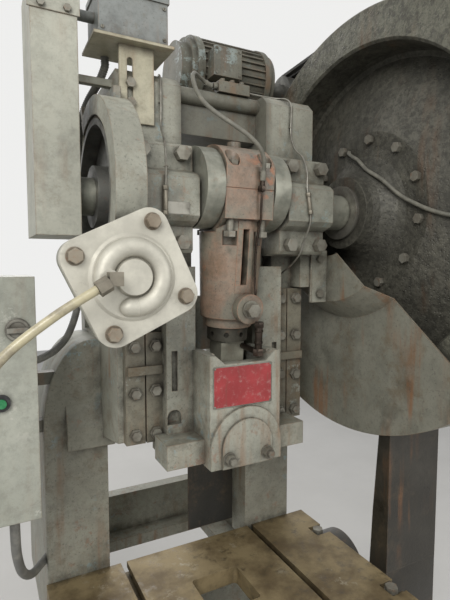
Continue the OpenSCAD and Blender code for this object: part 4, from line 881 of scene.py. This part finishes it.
def shell_patch(bm, place, x0, x1, z0, z1):
    """Part of the rod barrel's wall between two widths and two heights of the rod's frame"""
    count = 6
    widths = [x0 + (x1 - x0) * k / count for k in range(count + 1)]
    (foot, slim), (top, stout) = BARREL_LOW, BARREL_HIGH
    rings = []
    for z in (z0, z1):
        outside = slim + (stout - slim) * (z - foot) / (top - foot) + LIP_PROUD
        for r in (outside, outside - LIP_WALL):
            rings.append([corner(bm, place, x, -sqrt(r * r - x * x), z) for x in widths])
    out_low, in_low, out_high, in_high = rings
    for a, b in ((out_low, out_high), (in_high, in_low), (out_high, in_high), (in_low, out_low)):
        for k in range(count):
            bm.faces.new((a[k], a[k + 1], b[k + 1], b[k]))
    bm.faces.new((out_low[0], out_high[0], in_high[0], in_low[0]))
    bm.faces.new((out_low[-1], in_low[-1], in_high[-1], out_high[-1]))


def finished(bm, name):
    """The mesh of a piece, smooth but for its sharp edges"""
    mesh = bpy.data.meshes.new(name)
    bmesh.ops.recalc_face_normals(bm, faces=bm.faces)
    bm.to_mesh(mesh)
    bm.free()
    for face in mesh.polygons:
        face.use_smooth = True
    mesh.set_sharp_from_angle(angle=SHARP)
    return mesh


def add_piece(name, bm, body, slot, finish=None, stands_for=()):
    """Puts a piece in the scene on its body, with its slot's finish or its own"""
    mesh = finished(bm, name)
    piece = bpy.data.objects.new(name, mesh)
    bpy.context.scene.collection.objects.link(piece)
    mesh.materials.append(FINISHES[finish or slot])
    if body:
        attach(piece, body)
    if stands_for:
        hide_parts(*stands_for)
    return piece


# Places taken from the frame

def rod_place():
    """Place of the connecting rod's own frame: its pin at the origin, its length down the Z axis"""
    pin = Vector(JOINTS["rod_swing"]["pos_m"])
    return Matrix.Translation(pin) @ Matrix.Rotation(asin(-pin.y / (ROD_LENGTH * MM)), 4, "X")


def arch_front():
    """Front of the slide's arch in millimetres"""
    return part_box("slide")[0][1] / MM + SLIDE_ARCH


def on_cover(x, y, z):
    """Spot in millimetres on the actuator's own axis, taken to the machine's frame"""
    turn = radians(COVER_LEAN)
    return (COVER_SPOT[0] + x * cos(turn) - z * sin(turn), COVER_SPOT[1] + y,
            COVER_SPOT[2] + x * sin(turn) + z * cos(turn))


# Steps of the dressing

class PRESS_OT_finishes(Operator):
    """Give every solid of the press its worn paint, steel, rubber or plastic"""

    bl_idname = "press.finishes"
    bl_label = "Finish the solids"

    def execute(self, context):
        colours = context.scene.press_paints
        make_effects()
        paint_finishes(colours)
        steel_finishes()
        soft_finishes()
        bolster_finish()
        wheel_finish(colours)
        aluminium_finish(colours)
        warning_finish(colours)
        for part in frame["record"]["subparts"]:
            mesh = NODES[part["node"]].data
            mesh.materials.clear()
            mesh.materials.append(FINISHES[NODE_FINISHES.get(part["node"], part["material_slot"])])
        return {"FINISHED"}


class PRESS_OT_castings(Operator):
    """Add the upright's round shoulder, the slide's raised rim, the rod's slot lips and the stand's skirt"""

    bl_idname = "press.castings"
    bl_label = "Cast forms"

    def execute(self, context):
        self.shoulder()
        self.box_rim()
        self.slot_lips()
        self.skirt()
        return {"FINISHED"}

    def shoulder(self):
        bm = bmesh.new()
        left, foot, top, face = SHOULDER_LEFT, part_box("frame")[0][2] / MM, SHOULDER_TOP, UPRIGHT_FACE
        rise = top - SHOULDER_FOOT
        curve = [(left + SHOULDER_W * (1 - cos(radians(t))), SHOULDER_FOOT + rise * sin(radians(t)))
                 for t in range(0, 91, 9)]
        inside = [(UPRIGHT_HEAD[0], top), UPRIGHT_HEAD, UPRIGHT_WAIST, (UPRIGHT_WAIST[0], foot)]
        prism(bm, [(left, foot)] + curve + inside, face, face + SHOULDER_DEPTH, round_off=SHOULDER_ROUND)
        band = [(left + BAND_INSET, BAND_FOOT)] + [(x + BAND_INSET, z - BAND_INSET) for x, z in curve]
        band += [(BAND_RIGHT, top - 1), (BAND_RIGHT, BAND_FOOT)]
        prism(bm, band, face + BAND_DEPTH[0], face + BAND_DEPTH[1], round_off=BAND_ROUND)
        head, rear = UPRIGHT_REAR[0][1], UPRIGHT_REAR[-1][0]
        flank = [(face + FLANK_FRONT, foot), (face + FLANK_FRONT, head)] + UPRIGHT_REAR + [(rear, foot)]
        prism(bm, flank, left + 0.2, left + FLANK_W, axis=0, round_off=FLANK_ROUND)
        add_piece("left_upright_shoulder", bm, "machine", "frame_paint")

    def box_rim(self):
        bm = bmesh.new()
        half, front, top = BOX_HALF, arch_front(), BOX_TOP
        dip = [(-EAR_HALF, top), (-DIP_HALF, top - DIP_DEPTH), (DIP_HALF, top - DIP_DEPTH), (EAR_HALF, top)]
        rim = [(-half, BOX_FOOT), (-half, top)] + dip + [(half, top), (half, BOX_FOOT)]
        prism(bm, rim, front - 0.3, front + BOX_DEPTH, round_off=BOX_ROUND)
        for side in (-1, 1):
            x0, x1 = sorted((side * CHEEK_X, side * (half - 0.1)))
            cheek = [(x0, CHEEK_FOOT), (x0, top - 0.4), (x1, top - 0.4), (x1, CHEEK_FOOT)]
            prism(bm, cheek, front + CHEEK_FRONT, BOX_BACK, round_off=BOX_ROUND)
        add_piece("slide_box_rim", bm, "ram", "frame_paint")

    def slot_lips(self):
        bm = bmesh.new()
        for x0, x1, z0, z1 in LIPS:
            shell_patch(bm, rod_place(), x0, x1, ROD_FOOT + z0, ROD_FOOT + z1)
        add_piece("rod_slot_lips", bm, "connecting_rod", "rod_primer")

    def skirt(self):
        bm = bmesh.new()
        low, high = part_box("guard_stand")
        foot = low[2] / MM + SKIRT_FOOT
        right = high[0] / MM - 0.2
        face = low[1] / MM
        rear = face + SKIRT_W
        front = [(SKIRT_LEFT, SKIRT_TOP), (SKIRT_LEFT, foot), (right, foot), (right, SKIRT_TOP)]
        prism(bm, front, face - 0.2, face + SKIRT_PLATE, round_off=SKIRT_ROUND)
        side = [(face, SKIRT_TOP), (face, foot), (rear, foot), (rear, SKIRT_TOP)]
        prism(bm, side, SKIRT_LEFT - 0.2, SKIRT_LEFT + SKIRT_PLATE, axis=0, round_off=SKIRT_ROUND)
        add_piece("stand_skirt", bm, "machine", "stand_paint")


class PRESS_OT_hoses(Operator):
    """Draw the air hose, the flywheel's air line, the lubrication pipes and the grease hose round"""

    bl_idname = "press.hoses"
    bl_label = "Hoses and pipes"

    def execute(self, context):
        def ferrule(along):
            return (FERRULE_RADIUS - FERRULE_CRIMP * cos(along * FERRULE_WAVE)) * MM

        sides = context.scene.press_sizes.hose_sides
        bm = bmesh.new()
        sweep(bm, laid(AIR_HOSE, HOSE_GAP), AIR_RADIUS * MM, sides)
        add_piece("air_hose_round", bm, "machine", "cream_hose", stands_for=("air_hose",))
        bm = bmesh.new()
        sweep(bm, laid(WHEEL_LINE, HOSE_GAP), WHEEL_LINE_RADIUS * MM, sides)
        add_piece("wheel_line_round", bm, "wheel", "hose_grey", stands_for=("flywheel_air_line",))
        bm = bmesh.new()
        for route in (LEFT_LUBE, RIGHT_LUBE):
            sweep(bm, laid(route, HOSE_GAP), LUBE_RADIUS * MM, LUBE_SIDES)
        add_piece("lube_pipes", bm, "machine", "bare_steel", stands_for=("lube_lines",))
        bm = bmesh.new()
        path = laid(GREASE_HOSE, GREASE_GAP)
        sweep(bm, path, GREASE_RADIUS * MM, sides)
        for way in (path, path[::-1]):
            sweep(bm, way[:FERRULE_POINTS], ferrule, sides)
        hose = add_piece("grease_hose_round", bm, None, "hose_grey", stands_for=("grease_hose",))
        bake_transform(hose)
        return {"FINISHED"}


class PRESS_OT_conduits(Operator):
    """Draw the ribbed conduit of the cam switch and the conduits under the cabinet"""

    bl_idname = "press.conduits"
    bl_label = "Conduits"

    def execute(self, context):
        def ribs(along):
            return (SWITCH_RADIUS - RIB_DEPTH / 2 * (1 - cos(2 * pi * along / RIB_PITCH))) * MM

        bm = bmesh.new()
        sweep(bm, laid(SWITCH_CONDUIT, RIB_PITCH / 6, 6), ribs, 12)
        add_piece("switch_conduit", bm, "machine", "conduit", stands_for=("flexible_conduit",))
        bm = bmesh.new()
        sweep(bm, laid(CABINET_CONDUIT, CABINET_GAP), CABINET_RADIUS * MM, 16)
        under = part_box("control_cabinet")[0][2] / MM
        for x in GLAND_X:
            barrel(bm, facing((x, GLAND_Y, under), UP), *GLAND_COLLAR, 24)
            hex_head(bm, (x, GLAND_Y, under - 10), *GLAND_NUT, UP)
        add_piece("cabinet_conduit_round", bm, "machine", "conduit", stands_for=("cabinet_conduits",))
        return {"FINISHED"}


class PRESS_OT_plates(Operator):
    """Fix the bare warning plate, the bare nameplate and their rivets"""

    bl_idname = "press.plates"
    bl_label = "Bare plates"

    def execute(self, context):
        thick = context.scene.press_sizes.plate_thickness / MM
        self.warning(arch_front(), thick)
        self.nameplate(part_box("left_bearing_cap")[0][1] / MM, thick)
        return {"FINISHED"}

    def warning(self, back, thick):
        x0, z0, x1, z1 = WARNING
        front = back - thick
        bm = bmesh.new()
        prism(bm, rounded(x0, z0, x1, z1, 4), front, back - PLATE_SEAT)
        add_piece("warning_plate", bm, "ram", "bare_steel")
        bm = bmesh.new()
        field = rounded(x0 + FIELD_INSET, z0 + FIELD_INSET, x1 - FIELD_INSET, z1 - FIELD_INSET, 3)
        prism(bm, field, front - FIELD_PROUD, front + 0.2)
        add_piece("warning_field", bm, "ram", None, finish="warning")
        bm = bmesh.new()
        for x in (x0 + RIVET_INSET, x1 - RIVET_INSET):
            for z in (z0 + RIVET_INSET, z1 - RIVET_INSET):
                dome(bm, (x, front - 0.2, z), *RIVET)
        add_piece("warning_rivets", bm, "ram", "bare_steel")

    def nameplate(self, back, thick):
        x0, z0, x1, z1 = NAMEPLATE
        bm = bmesh.new()
        prism(bm, rounded(x0, z0, x1, z1, 2), back - thick, back - PLATE_SEAT)
        for x in (x0 + SMALL_INSET, x1 - SMALL_INSET):
            dome(bm, (x, back - thick, (z0 + z1) / 2), *SMALL_RIVET)
        add_piece("cap_nameplate", bm, "machine", "bare_steel")


class PRESS_OT_threads(Operator):
    """Cut the threads that show on the adjusting screw and the clamp's studs"""

    bl_idname = "press.threads"
    bl_label = "Threads"

    def execute(self, context):
        depth = context.scene.press_sizes.thread_depth / MM
        bm = bmesh.new()
        thread(bm, rod_place(), SCREW_RADIUS, SCREW_LOW, SCREW_TOP, SCREW_PITCH, depth, SCREW_SHOWN, 96)
        add_piece("screw_thread", bm, "connecting_rod", "screw_steel")
        bm = bmesh.new()
        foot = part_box("clamp_studs")[0][1] / MM + STUD_THREAD + 0.5
        for x in (-STUD_X, STUD_X):
            stud = facing((x, foot, STUD_Z))
            thread(bm, stud, STUD_RADIUS, 0, STUD_THREAD, STUD_PITCH, depth * STUD_SHARE, sides=36)
        add_piece("stud_threads", bm, "ram", "bolt_steel")
        return {"FINISHED"}


class PRESS_OT_fittings(Operator):
    """Put the couplings and clips on the lubrication pipes"""

    bl_idname = "press.fittings"
    bl_label = "Pipe fittings"

    def execute(self, context):
        bm = bmesh.new()
        for start, end in COUPLINGS:
            coupling(bm, start, end, COUPLING_RADIUS)
        add_piece("lube_couplings", bm, "machine", "fitting")
        bm = bmesh.new()
        for x, y, z in CLIPS:
            saddle = arc(x, z, CLIP_OUTSIDE, range(0, 181, 20)) + arc(x, z, CLIP_INSIDE, range(180, -1, -20))
            prism(bm, saddle, y - CLIP_HALF, y + CLIP_HALF)
        add_piece("lube_clips", bm, "machine", "fitting")
        return {"FINISHED"}


class PRESS_OT_oil_tube(Operator):
    """Turn the connecting rod's oil tube with its nuts, its stub and the thin pipe up the rod"""

    bl_idname = "press.oil_tube"
    bl_label = "Oil tube"

    def execute(self, context):
        rod = rod_place()
        tube = rod @ facing((TUBE_X, TUBE_Y, TUBE_FOOT), UP)
        length = TUBE_TOP - TUBE_FOOT
        bm = bmesh.new()
        barrel(bm, tube, TUBE_RADIUS - 0.5, TUBE_RADIUS, (15, 17, length - 4, length - 2), 28)
        for reach, low, high in zip(TUBE_NUTS, (-4, length - 4), (17, length + 12)):
            barrel(bm, tube, reach * CHAMFER, reach, (low, low + 2, high - 2, high), 6)
        for low in (30, length - 18):
            barrel(bm, tube, TUBE_RADIUS, TUBE_BAND, (low, low + 1, low + 7, low + 8), 28)
        stub = rod @ facing((TUBE_X, TUBE_Y, TUBE_FOOT + 4), BACK)
        turned(bm, [(STUB_RADIUS - 0.3, 0), (STUB_RADIUS, 1), (STUB_RADIUS, -TUBE_Y - BARREL_FRONT)], stub)
        sweep(bm, [rod @ p for p in laid(ROD_PIPE, ROD_PIPE_GAP, 6)], ROD_PIPE_RADIUS * MM, 12)
        elbow = rod @ facing(ELBOW, UP)
        barrel(bm, elbow, *ELBOW_NUT, 6)
        turned(bm, ELBOW_CAP, elbow)
        block(bm, rod, *ELBOW_BLOCK, BLOCK_EDGE)
        add_piece("rod_oil_tube", bm, "connecting_rod", "oil_tube", stands_for=("conrod_oil_tube",))
        return {"FINISHED"}


class PRESS_OT_cover(Operator):
    """Close the scroll of the actuator's cover with its round end and seat the bolts on their washers"""

    bl_idname = "press.cover"
    bl_label = "Actuator cover"

    def execute(self, context):
        start, end = SCROLL_TURN
        turns = [start + (end - start) * k / 40 for k in range(41)]
        path = [Vector(on_cover(x, SCROLL_FACE, z)) * MM for x, z in arc(0, 0, SCROLL_REACH, turns)]
        length = radians(start - end) * SCROLL_REACH * MM
        full = SCROLL_RADIUS * MM

        def tip(along):
            past = max(0.0, along - (length - full * 0.95)) / (full * 0.96)
            return full * sqrt(max(0.0, 1 - past * past))

        bm = bmesh.new()
        sweep(bm, path, tip, 32)
        add_piece("cover_scroll_end", bm, "machine", "cast_aluminium")
        bm = bmesh.new()
        turn = 0.2
        for x in (-COVER_BOLT, COVER_BOLT):
            for z in (-COVER_BOLT, COVER_BOLT):
                turn += 0.7
                x0, y0, z0 = on_cover(x, COVER_FACE, z)
                turned(bm, WASHER, facing((x0, y0, z0)), 28)
                hex_head(bm, (x0, y0 - 2.6, z0), *COVER_HEX, turn=turn)
        add_piece("cover_bolts", bm, "machine", "actuator_bolt", stands_for=("actuator_bolts",))
        return {"FINISHED"}


class PRESS_OT_screws(Operator):
    """Drive the slotted screws of the terminal box and the cam switch"""

    bl_idname = "press.screws"
    bl_label = "Cover screws"

    def execute(self, context):
        bm = bmesh.new()
        turn = 0.3
        for x0, x1, y, z0, z1 in COVERS:
            for x in (x0 + COVER_INSET, x1 - COVER_INSET):
                for z in (z0 + COVER_INSET, z1 - COVER_INSET):
                    turn += 0.9
                    slotted_screw(bm, (x, y, z), *COVER_SCREW, turn)
        add_piece("cover_screws", bm, "machine", "bolt_steel")
        return {"FINISHED"}


class PRESS_OT_welds(Operator):
    """Lay the weld beads of the guard's bracket and the chain guard's arm"""

    bl_idname = "press.welds"
    bl_label = "Weld beads"

    def execute(self, context):
        low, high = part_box("guard_bracket")
        right = low[0] / MM + 1
        (y0, y1), (z0, z1) = ARM_Y, ARM_Z
        bm = bmesh.new()
        bead(bm, [(right, -1, low[2] / MM + 4), (right, -1, high[2] / MM - 4)], WELD_RADIUS)
        arm = [(-right, y, z) for y, z in ((y0, z0), (y1, z0), (y1, z1), (y0, z1), (y0, z0 + 1))]
        bead(bm, arm, ARM_WELD_RADIUS)
        add_piece("weld_beads", bm, "machine", "frame_paint")
        return {"FINISHED"}


class PRESS_OT_stage(Operator):
    """Set the floor, the soft lamps and the camera"""

    bl_idname = "press.stage"
    bl_label = "Stage"

    def execute(self, context):
        context.scene.view_settings.view_transform = "Standard"
        self.backdrop(context.scene)
        self.floor(context.scene)
        self.lamps(context.scene)
        self.camera(context.scene)
        return {"FINISHED"}

    def backdrop(self, scene):
        world = bpy.data.worlds.new("studio")
        scene.world = world
        world.use_nodes = True
        graph = Graph(world.node_tree)
        back = world.node_tree.nodes["Background"]
        graph.feed(back, {"Color": SKY, "Strength": SKY_POWER})
        show = graph.out("ShaderNodeBackground", {"Color": BACKDROP, "Strength": 1.0})
        rays = graph.add("ShaderNodeLightPath").outputs
        bounced = graph.math("MAXIMUM", rays["Is Glossy Ray"], rays["Is Transmission Ray"])
        seen = graph.math("MAXIMUM", rays["Is Camera Ray"], bounced)
        surface = graph.out("ShaderNodeMixShader", {0: seen, 1: back.outputs[0], 2: show})
        graph.feed(world.node_tree.nodes["World Output"], {"Surface": surface})

    def floor(self, scene):
        bm = bmesh.new()
        bmesh.ops.create_grid(bm, x_segments=8, y_segments=8, size=FLOOR_SIZE)
        floor = bpy.data.objects.new("floor", finished(bm, "floor"))
        scene.collection.objects.link(floor)
        make_effects()
        pale = Finish("floor_pale", FLOOR)
        pale.coat("Blotches", FLOOR_PALE, scale=1.5, low=0.3, high=0.7)
        pale.graph.feed(pale.shader, {"Base Color": pale.colour, "Roughness": 0.8})
        floor.data.materials.append(pale.material)

    def lamps(self, scene):
        for name, (place, aim, size, power) in LAMPS.items():
            data = bpy.data.lights.new(name, "AREA")
            data.shape = "SQUARE"
            data.size = size
            data.energy = power
            data.color = LAMP_COLOUR
            lamp = bpy.data.objects.new(name, data)
            lamp.location = place
            lamp.rotation_euler = (Vector(aim) - Vector(place)).to_track_quat("-Z", "Y").to_euler()
            scene.collection.objects.link(lamp)

    def camera(self, scene):
        data = bpy.data.cameras.new("view")
        data.sensor_fit = "VERTICAL"
        data.sensor_height = CAMERA_SENSOR
        data.lens = CAMERA_LENS
        data.clip_start = 0.02
        camera = bpy.data.objects.new("view", data)
        camera.location = CAMERA_SPOT
        camera.rotation_euler = (radians(90 - CAMERA_DOWN), 0, -radians(CAMERA_RIGHT))
        scene.collection.objects.link(camera)
        scene.camera = camera


STEPS = (PRESS_OT_finishes, PRESS_OT_castings, PRESS_OT_hoses, PRESS_OT_conduits, PRESS_OT_plates,
         PRESS_OT_threads, PRESS_OT_fittings, PRESS_OT_oil_tube, PRESS_OT_cover, PRESS_OT_screws,
         PRESS_OT_welds, PRESS_OT_stage)


class PRESS_PT_dressing(Panel):
    """Lists the dressing steps of the press"""

    bl_idname = "PRESS_PT_dressing"
    bl_label = "Stamping press"
    bl_space_type = "VIEW_3D"
    bl_region_type = "UI"
    bl_category = "Press"

    def draw(self, context):
        column = self.layout.column(align=True)
        for step in STEPS:
            column.operator(step.bl_idname)
        for group in (context.scene.press_paints, context.scene.press_sizes):
            box = self.layout.box()
            for key in group.__annotations__:
                box.prop(group, key)


CLASSES = (PressPaints, PressSizes) + STEPS + (PRESS_PT_dressing,)


def register():
    for item in CLASSES:
        bpy.utils.register_class(item)
    bpy.types.Scene.press_paints = PointerProperty(type=PressPaints)
    bpy.types.Scene.press_sizes = PointerProperty(type=PressSizes)


def unregister():
    del bpy.types.Scene.press_sizes
    del bpy.types.Scene.press_paints
    for item in reversed(CLASSES):
        bpy.utils.unregister_class(item)


def main():
    register()
    for step in STEPS:
        kind, name = step.bl_idname.split(".")
        getattr(getattr(bpy.ops, kind), name)()
    bpy.context.view_layer.update()


if __name__ == "__main__":
    main()
